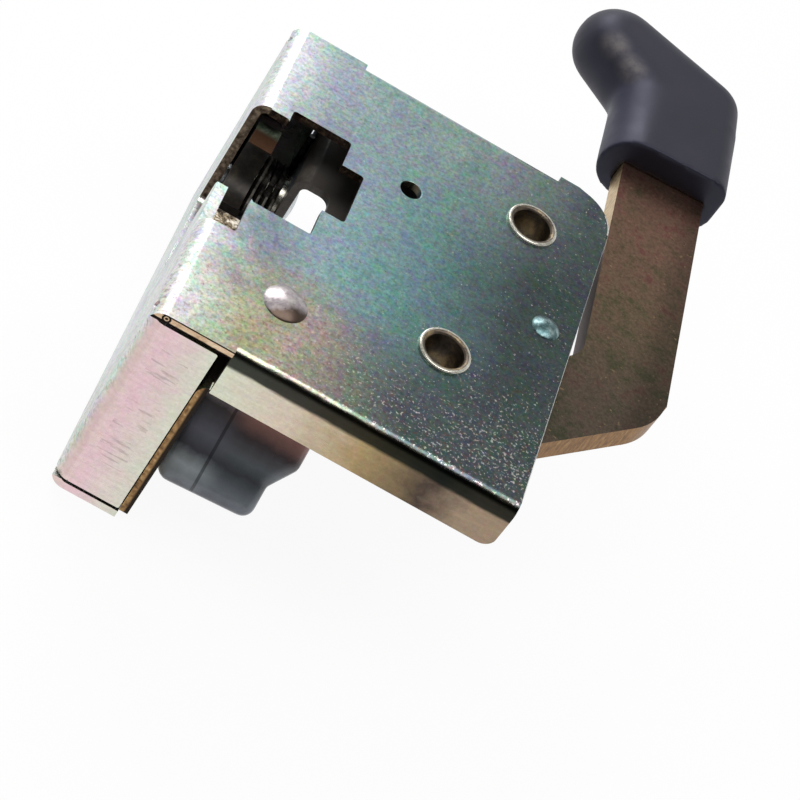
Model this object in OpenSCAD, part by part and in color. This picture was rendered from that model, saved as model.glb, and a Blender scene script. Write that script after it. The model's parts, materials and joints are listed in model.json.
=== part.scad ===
// Rotary door lock with an inside pull lever, modelled in millimetres.
// The origin is the centre of the lower mounting bush on the outside of the main face.
// +Z points out of the main face, +X runs from the mouth to the lever, +Y runs up to the grip.

/* [Housing] */
// Thickness of the folded housing sheet
sheet_t = 2; // [1.5:0.25:2.5]
// Outer radius of the fold between the main face and the front flange
fold_r = 3.5; // [3:0.25:4.5]
// Outer radius of the folds along the two side walls
wall_fold_r = 3; // [2.75:0.25:4]
// Distance between the outsides of the two side walls
housing_l = 101.4; // [98:0.2:108]
// Width of the main face, from the front flange to the lever's edge
face_w = 83.3; // [82:0.1:88]
// Depth of the latch box behind the main face
box_d = 59; // [58.5:0.5:66]
// Width of the latch box's rear flange and end flaps
flange_w = 16; // [15.5:0.25:16]
// Depth of the two side walls
wall_d = 13.2; // [11:0.1:14]
// Slit between neighbouring folds of the sheet
slit = 0.9; // [0.5:0.1:1.2]
// Radius of the main face's free upper corner
corner_r = 10; // [6:0.5:11]
// Radius of the small corners of walls and flaps
wall_end_r = 3; // [1:0.25:4]
// Diameter of the relief holes where two folds meet
relief_d = 2.2; // [1.6:0.1:2.6]
// Diameter of the sighting hole in the main face
sight_d = 5; // [3:0.5:7]

/* [Mounting bushes] */
// Distance from the front flange to the lower bush
bush_x = 57.5; // [57:0.1:58.5]
// Height of the lower bush above the lower wall's outside
bush_y = 30.6; // [30:0.1:31.5]
// Sideways offset of the upper bush from the lower one
bush_dx = 8.4; // [6:0.1:11]
// Height of the upper bush above the lower one
bush_dy = 50.1; // [46:0.1:54]
// Bore of the two bushes
bush_bore = 9; // [8:0.1:9.4]
// Outer diameter of the bush's tube
bush_od = 11; // [10.4:0.1:11.2]
// Diameter of the flared rims
rim_d = 12; // [11.8:0.1:13]
// Height of the flared rims above the sheet
rim_h = 0.8; // [0.5:0.1:1.2]

/* [Mouth] */
// Height of the mouth's middle above the lower bush
mouth_y = 27.5; // [27:0.1:28]
// Width of the mouth in the front flange
mouth_w = 27; // [24:0.5:28]
// Depth of the mouth in the front flange
mouth_d = 32; // [30:0.5:34]
// Width of the face cut-out over the latch box
cut_w = 32.6; // [30:0.2:34]
// Distance from the front flange to the end of that cut-out
cut_end = 22.3; // [21.5:0.1:23]
// Width of the notch behind the face cut-out
notch_w = 16.2; // [12:0.2:20]
// Length of the notch behind the face cut-out
notch_l = 5.4; // [3:0.2:7]
// Length of the window over the pawl's arm, from the front flange
arm_window_l = 8; // [7.8:0.1:8.4]
// Height of that window's lower edge above the lower bush
arm_window_y = 0.6; // [0.2:0.1:1]

/* [Back plate] */
// Thickness of the back plate
plate_t = 2; // [1.5:0.25:2.5]
// Depth of the back plate's front behind the main face
plate_z = 12; // [11.6:0.1:12.4]
// Width of the head slot through the back plate's corner
head_slot_w = 22.7; // [20:0.1:23]
// Reach of the head slot behind the leg, along the back plate
head_slot_l = 6.6; // [4:0.1:8]
// Depth of the head slot behind the main face
head_slot_d = 35; // [33:0.5:38]

/* [Claw] */
// Thickness of the claw
claw_t = 5.5; // [4.5:0.1:5.7]
// Radius of the claw's upper jaw
jaw_r = 22; // [21:0.1:22.6]
// Radius of the claw's lower jaw
lower_jaw_r = 25; // [24:0.1:25.4]
// Radius of the claw's locking rim
rim_r = 24; // [22.5:0.1:24.4]
// Radius of the floor of the claw's locking notch
lock_r = 19; // [17.5:0.1:20.5]
// Radius of the claw's back lobe
lobe_r = 15; // [14:0.1:16.5]
// Width of the claw's slot
slot_w = 14; // [13.2:0.1:14.4]
// Turn of the claw from open to closed
claw_turn = 37; // [35:0.5:40]
// Height of the claw's pivot above the lower bush
claw_y = 47; // [46.5:0.1:47.5]
// Depth of the claw's pivot behind the main face
claw_z = 27; // [26.8:0.1:27.6]
// Diameter of the claw's pivot
claw_pin_d = 9; // [8:0.1:10]

/* [Pawl] */
// Thickness of the pawl
pawl_t = 5.5; // [4.5:0.1:5.7]
// Height of the pawl's pivot above the lower bush
pawl_y = 5.4; // [5:0.1:5.8]
// Depth of the pawl's pivot behind the main face
pawl_z = 22.4; // [22:0.1:22.8]
// Diameter of the pawl's pivot
pawl_pin_d = 7; // [6:0.1:8]
// Width of the pawl's upper arm
pawl_arm_w = 6; // [4.5:0.1:6.6]
// Width of the pawl's strut
strut_w = 5.5; // [4.5:0.1:5.8]
// Distance from the pawl's pivot to the middle of the release tab
tab_reach = 27.3; // [26:0.1:28]
// Thickness of the release tab
tab_t = 4.5; // [3.5:0.1:5]
// Width of the release tab
tab_w = 13; // [10:0.5:14]

/* [Release pad] */
// Length of the release pad
pad_l = 26.4; // [23:0.2:27]
// Height of the release pad
pad_h = 23; // [20:0.2:24]
// Thickness of the release pad
pad_t = 11; // [9:0.2:12]
// Depth of the step on the pad's free end
pad_step = 4.1; // [2.5:0.1:5]

/* [Lever] */
// Thickness of the lever bar
lever_t = 6; // [5:0.1:6.2]
// Depth of the lever's front behind the main face
lever_z = 3; // [2.9:0.1:3.1]
// Distance from the front flange to the lever's pivot
lever_x = 23.4; // [23:0.1:24]
// Depth of the lever's pivot below the lower bush
lever_y = 11; // [10.8:0.1:11.4]
// Diameter of the lever's pivot
lever_pin_d = 8; // [7:0.1:8.6]
// Width of the lever's upper arm
arm_w = 21.4; // [19:0.2:22]
// Lean of the lever's upper arm towards the mouth
arm_lean = 4; // [2:0.1:5]
// Radius of the lever's outer elbow
elbow_r = 18; // [14:0.5:20]
// Diameter of the lever's stop rivet
stop_d = 7; // [6:0.1:7.4]

/* [Grip] */
// Width of the grip at its open end
grip_w = 30.8; // [29:0.2:33]
// Thickness of the grip
grip_t = 17.5; // [16.5:0.1:19]
// Distance from the lever's elbow to the grip's open end
grip_v = 66.6; // [62:0.2:70]
// Overhang of the grip beyond the lever's outer edge
grip_over = 3.8; // [3:0.1:4.5]
// Height of the grip's straight side up to the nose
grip_side = 20; // [17:0.5:24]
// Radius of the grip's nose, seen from the front
nose_r = 11.2; // [10:0.1:12]
// Radius of the grip's upper outer corner
grip_corner_r = 8.5; // [7:0.1:9.5]
// Radius of the grip's outer edges
grip_edge_r = 5; // [3.5:0.1:6]

/* [Springs] */
// Wire of the claw's spring
claw_wire = 1.5; // [1.2:0.1:1.6]
// Wire of the pawl's spring
pawl_wire = 1.3; // [1:0.1:1.5]
// Wire of the lever's spring
lever_wire = 1.1; // [0.9:0.05:1.2]

/* [Hidden] */
$fn = 64;

// Running clearance of a bore round its pin, and the gap kept between loose pieces
run = 0.05;
gap = 0.3;

// Edges of the housing
front_x = -bush_x;
edge_x = front_x + face_w;
low_y = -bush_y;
high_y = low_y + housing_l;
wall_x1 = front_x + flange_w + 2.3;
low_wall_x2 = edge_x;
high_wall_x2 = edge_x - corner_r - 4.8;

// Latch box, from the front flange to the back plate's leg
leg_x = front_x + flange_w;
claw_x = front_x + sheet_t + 0.7;
sleeve_x = claw_x + max(claw_t, pawl_t) + gap / 2;
leg_gap = leg_x - sleeve_x;

// Claw angles in the open position, seen from the front flange, from +Y towards +Z
slot_a = 174 - claw_turn;
slot_reach = 19.6;
jaw_back_a = 103;
notch_a1 = 170;
catch_a = 229 - claw_turn;
rim_end_a = 233;
lobe_a = -60;
stop_pin_d = 6;
stop_reach = 15.5;
stop_a = lobe_a - asin((stop_pin_d / 2 + gap) / stop_reach);
stop_yz = [claw_y + stop_reach * cos(stop_a), -claw_z + stop_reach * sin(stop_a)];

// Pawl points, as [y, z]
claw_c = [claw_y, -claw_z];
pawl_c = [pawl_y, -pawl_z];
nose_a = 224.5;
nose_in = claw_c + (rim_r + gap) * [cos(nose_a), sin(nose_a)];
nose_out = claw_c + (rim_r + gap + 2 + strut_w / 2) * [cos(nose_a), sin(nose_a)];
tab_dir = [-0.683, -0.73];
tab_c = pawl_c + tab_reach * tab_dir;
tab_a = atan2(tab_dir[1], tab_dir[0]);

// Lever points, as [x, y]
lever_c = [front_x + lever_x, -lever_y];
stop_c = [edge_x - 7, 22.6];
rivet_fit = 0.1;
tip_d = 6;
tip_c = [claw_x + claw_t / 2 - 0.2, pawl_y - pawl_arm_w / 2 - gap - tip_d / 2];
elbow_c = [edge_x + 24.8 - elbow_r, 24.9];
grip_mid_z = -4.25;

// Basic shapes

module box2(x1, y1, x2, y2) {
    translate([x1, y1]) square([x2 - x1, y2 - y1]);
}

module round_box2(x1, y1, x2, y2, r) {
    box2(x1 + r, y1, x2 - r, y2);
    box2(x1, y1 + r, x2, y2 - r);
    for (x = [x1 + r, x2 - r], y = [y1 + r, y2 - r]) translate([x, y]) circle(r);
}

// A bar with round ends from p to q
module bar2(p, q, w) {
    d = q - p;
    translate(p) circle(d = w);
    translate(q) circle(d = w);
    translate(p) rotate(atan2(d[1], d[0])) translate([0, -w / 2]) square([norm(d), w]);
}

// A quarter of a folded sheet's section, in the first quadrant
module fold2(r, t) {
    intersection() {
        difference() {
            circle(r);
            circle(r - t);
        }
        square(r);
    }
}

// Draws a section in X and Z from y1 to y2
module along_y(y1, y2) {
    translate([0, y2, 0]) rotate([90, 0, 0]) linear_extrude(y2 - y1) children();
}

// Draws a section in Y and Z from x1 to x2
module along_x(x1, x2) {
    translate([x1, 0, 0]) rotate([90, 0, 90]) linear_extrude(x2 - x1) children();
}

// Draws an outline in X and Y from z1 up to z2
module along_z(z1, z2) {
    translate([0, 0, z1]) linear_extrude(z2 - z1) children();
}

module rod_x(yz, x1, x2, d) {
    translate([x1, yz[0], yz[1]]) rotate([0, 90, 0]) cylinder(h = x2 - x1, d = d);
}

module rod_z(xy, z1, z2, d) {
    translate([xy[0], xy[1], z1]) cylinder(h = z2 - z1, d = d);
}

// A low domed rivet head on z = 0, of diameter d and height h
module dome(d, h) {
    r = (d * d / 4 + h * h) / (2 * h);
    intersection() {
        translate([0, 0, h - r]) sphere(r);
        cylinder(h = h, d = d);
    }
}

// Mirrors what is drawn at the lower end of the housing to its upper end
module upper_end() {
    translate([0, low_y + high_y, 0]) mirror([0, 1, 0]) children();
}

// Wire that follows a path round the Z axis

function ring_at(path, i, r, n) =
    let (
        a = path[max(i - 1, 0)],
        b = path[min(i + 1, len(path) - 1)],
        t = (b - a) / norm(b - a),
        u = cross(t, [0, 0, 1]) / norm(cross(t, [0, 0, 1])),
        v = cross(t, u)
    )
    [for (k = [0:n - 1]) path[i] + r * (cos(360 * k / n) * u + sin(360 * k / n) * v)];

module wire(path, r, n = 8) {
    rings = len(path);
    polyhedron(
        points = [for (i = [0:rings - 1]) each ring_at(path, i, r, n)],
        faces = concat(
            [for (i = [0:rings - 2], k = [0:n - 1])
                [i * n + k, i * n + (k + 1) % n, (i + 1) * n + (k + 1) % n, (i + 1) * n + k]],
            [[for (k = [n - 1:-1:0]) k]],
            [[for (k = [0:n - 1]) (rings - 1) * n + k]]
        )
    );
}

// A torsion spring's path: a straight leg, the turns and another straight leg
function coil_path(r, pitch, a1, a2, leg1, leg2) =
    let (
        steps = ceil((a2 - a1) / 20),
        turns = [for (i = [0:steps])
            let (a = a1 + (a2 - a1) * i / steps) [r * cos(a), r * sin(a), pitch * (a - a1) / 360]],
        start = turns[0] + leg1 * [sin(a1), -cos(a1), 0],
        end = turns[steps] + leg2 * [-sin(a2), cos(a2), 0]
    )
    concat([start], turns, [end]);

// Housing

module face_outline() {
    box2(front_x + fold_r, low_y + wall_fold_r, edge_x, high_y - wall_fold_r);
    box2(front_x + fold_r, low_y, wall_x1, low_y + wall_fold_r);
    box2(front_x + fold_r, high_y - wall_fold_r, wall_x1, high_y);
    box2(high_wall_x2, high_y - wall_fold_r, edge_x - corner_r, high_y);
}

module face_cutout() {
    cut_x = front_x + cut_end;
    round_box2(front_x + arm_window_l, mouth_y + 0.2 - cut_w / 2, cut_x, mouth_y + 0.2 + cut_w / 2, 0.8);
    round_box2(cut_x - 3, mouth_y + 0.5 - notch_w / 2, cut_x + notch_l, mouth_y + 0.5 + notch_w / 2, 0.8);
    round_box2(front_x - 2, arm_window_y, front_x + arm_window_l, mouth_y + mouth_w / 2 - 0.4, 0.8);
    box2(front_x + arm_window_l - 1.2, mouth_y + 1 - cut_w / 2, front_x + arm_window_l + 1.2, mouth_y + mouth_w / 2 - 1.2);
}

module side_wall(x2) {
    along_x(wall_x1, x2)
        translate([low_y + wall_fold_r, -wall_fold_r]) rotate(90) fold2(wall_fold_r, sheet_t);
    along_y(low_y, low_y + sheet_t) {
        box2(wall_x1, -wall_d + wall_end_r, x2, -wall_fold_r);
        box2(wall_x1, -wall_d, x2 - wall_end_r, -wall_d + wall_end_r);
        translate([x2 - wall_end_r, -wall_d + wall_end_r]) circle(wall_end_r);
    }
}

module end_flap() {
    z1 = -box_d + sheet_t + slit;
    z2 = -sheet_t - slit;
    along_z(z1, z2) {
        translate([front_x + fold_r, low_y + fold_r]) rotate(180) fold2(fold_r, sheet_t);
    }
    along_y(low_y, low_y + sheet_t) round_box2(front_x + fold_r - 0.01, z1, leg_x - gap, z2, 0.4);
}

module housing_section() {
    translate([front_x + fold_r, -fold_r]) rotate(90) fold2(fold_r, sheet_t);
    box2(front_x, -box_d + fold_r, front_x + sheet_t, -fold_r);
    translate([front_x + fold_r, -box_d + fold_r]) rotate(180) fold2(fold_r, sheet_t);
    box2(front_x + fold_r, -box_d, leg_x, -box_d + sheet_t);
}

module flap_corner() {
    translate([front_x - 1, low_y - 1, -box_d + sheet_t + slit / 2])
        cube([fold_r + 1, fold_r + 1, box_d - 2 * sheet_t - slit]);
    for (z = [-sheet_t - slit / 2, -box_d + sheet_t + slit / 2])
        translate([front_x, low_y + fold_r, z]) rotate([0, 90, 0]) cylinder(h = fold_r, d = relief_d);
}

module housing() {
    color("lightsteelblue") difference() {
        union() {
            difference() {
                along_y(low_y, high_y) housing_section();
                flap_corner();
                upper_end() flap_corner();
            }
            along_z(-sheet_t, 0) {
                face_outline();
                translate([edge_x - corner_r, high_y - corner_r]) intersection() {
                    circle(corner_r);
                    square(corner_r);
                }
            }
            end_flap();
            upper_end() end_flap();
            side_wall(low_wall_x2);
            upper_end() side_wall(high_wall_x2);
        }
        along_z(edge_top_z(), 1) face_corner_waste();
        along_z(-sheet_t - 0.2, 1) face_cutout();
        along_x(front_x - 1, front_x + fold_r)
            round_box2(mouth_y - mouth_w / 2, -mouth_d, mouth_y + mouth_w / 2, 5, 3);
        for (p = [[0, 0], [bush_dx, bush_dy]]) rod_z(p, -sheet_t - 1, 1, bush_od);
        rod_z(lever_c, -sheet_t - 1, 1, lever_pin_d + rivet_fit);
        rod_z(stop_c, -sheet_t - 1, 1, stop_d - 2 + rivet_fit);
        rod_z([-19.4, 40.4], -sheet_t - 1, 1, sight_d);
        rod_x(claw_c, front_x - 1, front_x + fold_r, claw_pin_d + rivet_fit);
        rod_x(pawl_c, front_x - 1, front_x + fold_r, pawl_pin_d + rivet_fit);
        for (p = [stop_yz, lower_spacer_yz(), upper_spacer_yz()])
            rod_x(p, front_x - 1, front_x + fold_r, stop_pin_d - 1.5 + rivet_fit);
    }
}

function edge_top_z() = -sheet_t - 0.1;

// What lies outside the rounded upper corner of the main face
module face_corner_waste() {
    difference() {
        box2(edge_x - corner_r, high_y - corner_r, edge_x + 1, high_y + 1);
        translate([edge_x - corner_r, high_y - corner_r]) circle(corner_r);
    }
}

function lower_spacer_yz() = [-14, -20];
function upper_spacer_yz() = [60, -46];

// Back plate, bent to an L

module back_plate() {
    bend_r = 3.5;
    top = -plate_z;
    leg_y1 = low_y + gap;
    leg_y2 = high_y - gap;
    flat_y1 = low_y + sheet_t + gap;
    flat_y2 = high_y - sheet_t - gap;
    color("gainsboro") difference() {
        union() {
            along_y(leg_y1, leg_y2) {
                box2(leg_x, -box_d + sheet_t + gap, leg_x + plate_t, top - bend_r);
                intersection() {
                    translate([leg_x + bend_r, top - bend_r]) rotate(90) fold2(bend_r, plate_t);
                    box2(leg_x, top - bend_r, leg_x + plate_t, top);
                }
            }
            along_y(flat_y1, flat_y2) {
                translate([leg_x + bend_r, top - bend_r]) rotate(90) fold2(bend_r, plate_t);
                box2(leg_x + bend_r, top - plate_t, edge_x - 1.3, top);
            }
        }
        head_slot();
        tab_window();
        for (p = [[0, 0], [bush_dx, bush_dy]]) rod_z(p, top - plate_t - 1, top + 1, bush_od);
        rod_z(lever_c, top - plate_t - 1, top + 1, lever_pin_d + rivet_fit);
        countersink(rivet_fit);
        rod_z(stop_c, top - plate_t - 1, top + 1, stop_d - 2 + rivet_fit);
        rod_x(claw_c, leg_x - 1, leg_x + plate_t + 1, claw_pin_d + rivet_fit);
        rod_x(pawl_c, leg_x - 1, leg_x + plate_t + 1, pawl_pin_d + rivet_fit);
        for (p = [stop_yz, lower_spacer_yz(), upper_spacer_yz()])
            rod_x(p, leg_x - 1, leg_x + plate_t + 1, stop_pin_d - 1.5 + rivet_fit);
    }
}

// The slot over the mouth runs through the leg and round the bend into the flat plate
module head_slot() {
    y1 = mouth_y + 0.85 - head_slot_w / 2;
    y2 = y1 + head_slot_w;
    along_x(leg_x - 1, leg_x + plate_t + 0.01) round_box2(y1, -head_slot_d, y2, 0, 3);
    along_z(-plate_z - 6, 0) round_box2(leg_x - 4, y1, leg_x + plate_t + head_slot_l, y2, 2.5);
}

// The window lets the release tab swing
module tab_window() {
    swing = 6;
    along_x(leg_x - 1, leg_x + plate_t + 1)
        translate(tab_c) rotate(tab_a)
            round_box2(-tab_w / 2 - 1.5, -swing - tab_t / 2, tab_w / 2 + 1.5, tab_t / 2 + 1.5, 1);
}

// Tubular mounting bush with a flared rim at each end
module bush(p) {
    back = -plate_z - plate_t;
    color("silver") difference() {
        union() {
            rod_z(p, back - rim_h, rim_h, bush_od);
            for (z = [0, back]) translate([p[0], p[1], z]) mirror([0, 0, z < 0 ? 1 : 0]) rim();
        }
        rod_z(p, back - rim_h - 1, rim_h + 1, bush_bore);
        translate([p[0], p[1], rim_h - 0.5]) cylinder(h = 0.51, d1 = bush_bore, d2 = bush_bore + 1);
    }
}

module rim() {
    rotate_extrude() {
        square([rim_d / 2 - rim_h / 2, rim_h]);
        square([rim_d / 2, rim_h / 2]);
        translate([rim_d / 2 - rim_h / 2, rim_h / 2]) circle(rim_h / 2);
    }
}

module lower_bush() bush([0, 0]);
module upper_bush() bush([bush_dx, bush_dy]);

// Lever pivot rivet with a wide low head in front and a flush end behind
module lever_rivet() {
    back = -plate_z - plate_t;
    color("lightsteelblue") {
        rod_z(lever_c, back, 0, lever_pin_d);
        translate([lever_c[0], lever_c[1], 0]) dome(10, 1.5);
        countersink(0);
    }
}

// The flat countersunk end of the lever's rivet in the back plate, or its seat
module countersink(fit) {
    translate([lever_c[0], lever_c[1], -plate_z - plate_t])
        cylinder(h = 1, d1 = lever_pin_d + 2 + fit, d2 = lever_pin_d + fit);
}

// Shouldered rivet that holds the plates apart and stops the lever
module stop_rivet() {
    back = -plate_z - plate_t;
    color("lightsteelblue") {
        rod_z(stop_c, back, 0, stop_d - 2);
        rod_z(stop_c, -plate_z, -sheet_t, stop_d);
        translate([stop_c[0], stop_c[1], 0]) dome(stop_d - 0.2, 1.2);
        translate([stop_c[0], stop_c[1], back]) mirror([0, 0, 1]) dome(stop_d + 0.6, 1.3);
    }
}

module lever_washer() {
    color("gold") difference() {
        rod_z(lever_c, -lever_z + 0.05, -sheet_t - 0.05, lever_pin_d + 8);
        rod_z(lever_c, -lever_z - 1, 0, lever_pin_d + 2 * run);
    }
}

// Lever

module lever_outline() {
    r = elbow_r;
    inner_x = elbow_c[0] + r - arm_w;
    top_y = stop_c[1] - stop_d / 2 - gap;
    bush_r = bush_od / 2 + 0.4;
    fillet = 10;
    back = elbow_c + r * [cos(45), -sin(45)];
    low = back - 34 * [cos(45), sin(45)];
    // elbow, from the lower edge round to the arm
    intersection() {
        translate(elbow_c) circle(r);
        translate(elbow_c) polygon([[-1, 1], [r - 1, -r - 1], [2 * r, -2 * r], 2 * r * [cos(arm_lean), sin(arm_lean)]]);
    }
    // upper arm, leaning towards the mouth
    translate(elbow_c) rotate(arm_lean) box2(r - arm_w, -3, r - 0.01, 98);
    // body between the elbow and the inner run, with a filleted inner corner
    difference() {
        polygon([
            elbow_c + [0.5, 1], [inner_x + 0.5, top_y + fillet], [inner_x - fillet, top_y + fillet],
            [inner_x - fillet, top_y], [stop_c[0] - 3.8, top_y], [stop_c[0] - 6.8, 8], [5, -bush_r - 0.6],
            [lever_c[0], -bush_r - 0.6],
            [lever_c[0], -19], [-8, -20], [low[0] - 14, low[1] + 0.5], low, back
        ]);
        translate([inner_x - fillet - 0.01, top_y + fillet + 0.01]) circle(fillet);
    }
    // pivot boss and the tip that moves the pawl
    translate(lever_c) circle(9.2);
    bar2(lever_c, tip_c, tip_d - 0.6);
    translate(tip_c) circle(d = tip_d);
}

module lever() {
    color("saddlebrown") difference() {
        along_z(-lever_z - lever_t, -lever_z) lever_outline();
        rod_z(lever_c, -lever_z - lever_t - 1, 0, lever_pin_d + 2 * run);
    }
}

// Moulded grip on the lever's upper arm, drawn in the arm's own frame

module in_arm() {
    translate([elbow_c[0], elbow_c[1], grip_mid_z]) rotate(arm_lean) translate([elbow_r, 0, 0]) children();
}

module grip_rod(u, z, r, v1, v2) {
    translate([u, v2, z]) rotate([90, 0, 0]) cylinder(h = v2 - v1, r = r, $fn = 40);
}

// The grip's outer side, with a smaller radius in front and a larger one behind
module grip_outer_side(v1, v2) {
    r1 = grip_edge_r;
    r2 = grip_edge_r + 1.5;
    grip_rod(grip_over - r1, grip_t / 2 - r1, r1, v1, v2);
    grip_rod(grip_over - r2, r2 - grip_t / 2, r2, v1, v2);
}

// A disc of radius r, as thick as the grip, whose rim is rounded to the radius edge
module grip_disc(c, r, edge) {
    translate(c) rotate_extrude($fn = 32) rounded_half(r, grip_t, edge);
}

// Half the section of a round plate of radius r and thickness t with rounded rims
module rounded_half(r, t, edge) {
    square_half(r - edge, t);
    square_half(r, t - 2 * edge);
    for (z = [-1, 1]) intersection() {
        translate([r - edge, z * (t / 2 - edge)]) circle(edge, $fn = 32);
        square_half(r, t);
    }
}

module square_half(w, h) {
    translate([0, -h / 2]) square([w, h]);
}

module grip() {
    half = grip_t / 2;
    u2 = grip_over;
    u1 = u2 - grip_w;
    // the nose leans out over the open end, and a second disc carries its lower side into the grip
    nose = [u1 - 1.3, grip_v + grip_side + 18.9];
    root = [u1 + 13.1, grip_v + grip_side + 5];
    corner = [u2 - grip_corner_r - 0.4, grip_v + grip_side + 10.3];
    color("dimgray") difference() {
        in_arm() {
            hull() {
                grip_rod(u1 + half, 0, half, grip_v, grip_v + grip_side + 3);
                grip_outer_side(grip_v, grip_v + grip_side + 3);
            }
            hull() {
                grip_disc(nose, nose_r, half - 0.4);
                grip_disc(root, nose_r, half - 0.4);
                grip_disc(corner, grip_corner_r, grip_edge_r);
                grip_outer_side(grip_v + grip_side - 6, grip_v + grip_side);
            }
        }
        along_z(-lever_z - lever_t, -lever_z) lever_outline();
    }
}

// Torsion spring round the lever's pivot, under the lever
module lever_spring() {
    r = lever_pin_d / 2 + lever_wire / 2 + 0.6;
    z = -plate_z + lever_wire / 2 + 0.1;
    color("silver")
        translate([lever_c[0], lever_c[1], z])
            wire(coil_path(r, lever_wire + 0.1, 80, 460, 12, 14), lever_wire / 2);
}

// Claw, drawn open

module sector2(a1, a2, r) {
    far = 2 * r;
    steps = 6;
    intersection() {
        circle(r);
        polygon(concat([[0, 0]], [for (i = [0:steps]) let (a = a1 + (a2 - a1) * i / steps) far * [cos(a), sin(a)]]));
    }
}

module claw_outline() {
    difference() {
        union() {
            circle(12);
            sector2(lobe_a, jaw_back_a + 1, lobe_r);
            sector2(jaw_back_a, slot_a, jaw_r);
            sector2(slot_a, notch_a1, lower_jaw_r);
            sector2(notch_a1 - 1, catch_a + 1, lock_r);
            sector2(catch_a, rim_end_a, rim_r);
        }
        rotate(slot_a) {
            translate([slot_reach, 0]) circle(d = slot_w);
            box2(slot_reach, -slot_w / 2, 40, slot_w / 2);
        }
        circle(claw_pin_d / 2 + run);
    }
}

module claw() {
    color("silver") difference() {
        along_x(claw_x, claw_x + claw_t) translate(claw_c) claw_outline();
        rod_x(claw_c + 11.5 * [cos(20), sin(20)], claw_x - 1, claw_x + claw_t + 1, claw_wire + 0.8);
    }
}

// A pivot riveted flush into the front flange, with a formed head behind the leg
module box_pivot(yz, d) {
    rod_x(yz, front_x, leg_x + plate_t, d);
    translate([leg_x + plate_t, yz[0], yz[1]]) rotate([0, 90, 0]) dome(d + 3.5, 1.4);
}

module claw_pivot() {
    color("silver") box_pivot(claw_c, claw_pin_d);
}

module pawl_pivot() {
    color("silver") box_pivot(pawl_c, pawl_pin_d);
}

// A sleeve that keeps the claw or the pawl against the front flange
module box_sleeve(yz, d) {
    difference() {
        rod_x(yz, sleeve_x, leg_x - 0.05, d + 3);
        rod_x(yz, sleeve_x - 1, leg_x + 1, d + 2 * run);
    }
}

module claw_sleeve() {
    color("silver") box_sleeve(claw_c, claw_pin_d);
}

module pawl_sleeve() {
    color("silver") box_sleeve(pawl_c, pawl_pin_d);
}

// Turns a spring drawn round Z so that it lies round X at a pivot
module box_spring(yz) {
    translate([sleeve_x, yz[0], yz[1]]) rotate([90, 0, 90]) children();
}

module claw_spring() {
    r = claw_pin_d / 2 + 1.5 + claw_wire / 2 + 0.4;
    color("silver") box_spring(claw_c)
        translate([0, 0, claw_wire / 2 + 0.2])
            wire(coil_path(r, claw_wire + 0.1, 150, 1440, 9, 15), claw_wire / 2);
}

module pawl_spring() {
    r = pawl_pin_d / 2 + 1.5 + pawl_wire / 2 + 0.4;
    color("silver") box_spring(pawl_c)
        translate([0, 0, pawl_wire / 2 + 0.2])
            wire(coil_path(r, pawl_wire + 0.15, 60, 60 + 360 * 3.3, 10, 16), pawl_wire / 2);
}

// A spacer rivet across the latch box, flush at both ends
module box_spacer(yz, d) {
    rod_x(yz, front_x, leg_x + plate_t, d - 1.5);
    rod_x(yz, front_x + sheet_t, leg_x, d);
}

module claw_stop() {
    color("silver") box_spacer(stop_yz, stop_pin_d);
}

module lower_spacer() {
    color("silver") box_spacer(lower_spacer_yz(), stop_pin_d);
}

module upper_spacer() {
    color("silver") box_spacer(upper_spacer_yz(), stop_pin_d);
}

// Pawl with its bent release tab

module pawl_outline() {
    difference() {
        union() {
            translate(pawl_c) circle(pawl_pin_d / 2 + 2.6);
            round_box2(pawl_y - pawl_arm_w / 2, -pawl_z, pawl_y + pawl_arm_w / 2, -3, 1);
            bar2(pawl_c, nose_out, strut_w);
            bar2(nose_in + 1.6 * [cos(nose_a), sin(nose_a)], nose_out, 3.2);
            bar2(pawl_c, tab_c, tab_t + 3);
        }
        translate(pawl_c) circle(pawl_pin_d / 2 + run);
    }
}

module tab_section() {
    translate(tab_c) rotate(tab_a) round_box2(-tab_w / 2, -tab_t / 2, tab_w / 2, tab_t / 2, 1);
}

module pawl() {
    pad_x = leg_x + plate_t + 0.6;
    color("silver") {
        along_x(claw_x, claw_x + pawl_t) pawl_outline();
        along_x(claw_x, pad_x + pad_l - 6) tab_section();
    }
}

// Moulded pad over the release tab

// Corners of the pad's outline, counter-clockwise: [x, v, radius, first angle, last angle, 1 or -1 for an inner corner].
// x runs along the tab and v away from the pawl's pivot.
function pad_corners() =
    let (
        x1 = leg_x + plate_t + 0.6,
        x2 = x1 + pad_l,
        v1 = 0.4 - pad_h / 2,
        v2 = 0.4 + pad_h / 2,
        r = 2.8,
        inner_r = 1.2,
        slant = 33.5,
        top = 87,
        bulge_v = v1 + 9.8 - r,
        step_x = x2 - pad_step + inner_r,
        step_v = ((x2 - r - step_x) * cos(slant) + r + inner_r) / sin(slant) + bulge_v
    ) [
        [x1 + r, v1 + r, r, 180, 270, 1],
        [x2 - r, v1 + r, r, 270, 360, 1],
        [x2 - r, bulge_v, r, 0, slant, 1],
        [step_x, step_v, inner_r, 180 + slant, 180, -1],
        [x2 - pad_step - r, v2 - r - 0.8, r, 0, top, 1],
        [x1 + r, v2 - r, r, top, 180, 1]
    ];

// The outline moved inwards by e, at height z
function pad_loop(e, z, n = 5) = [
    for (c = pad_corners(), k = [0:n])
        let (a = c[3] + (c[4] - c[3]) * k / n, r = c[2] - c[5] * e)
            [c[0] + r * cos(a), c[1] + r * sin(a), z]
];

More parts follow.
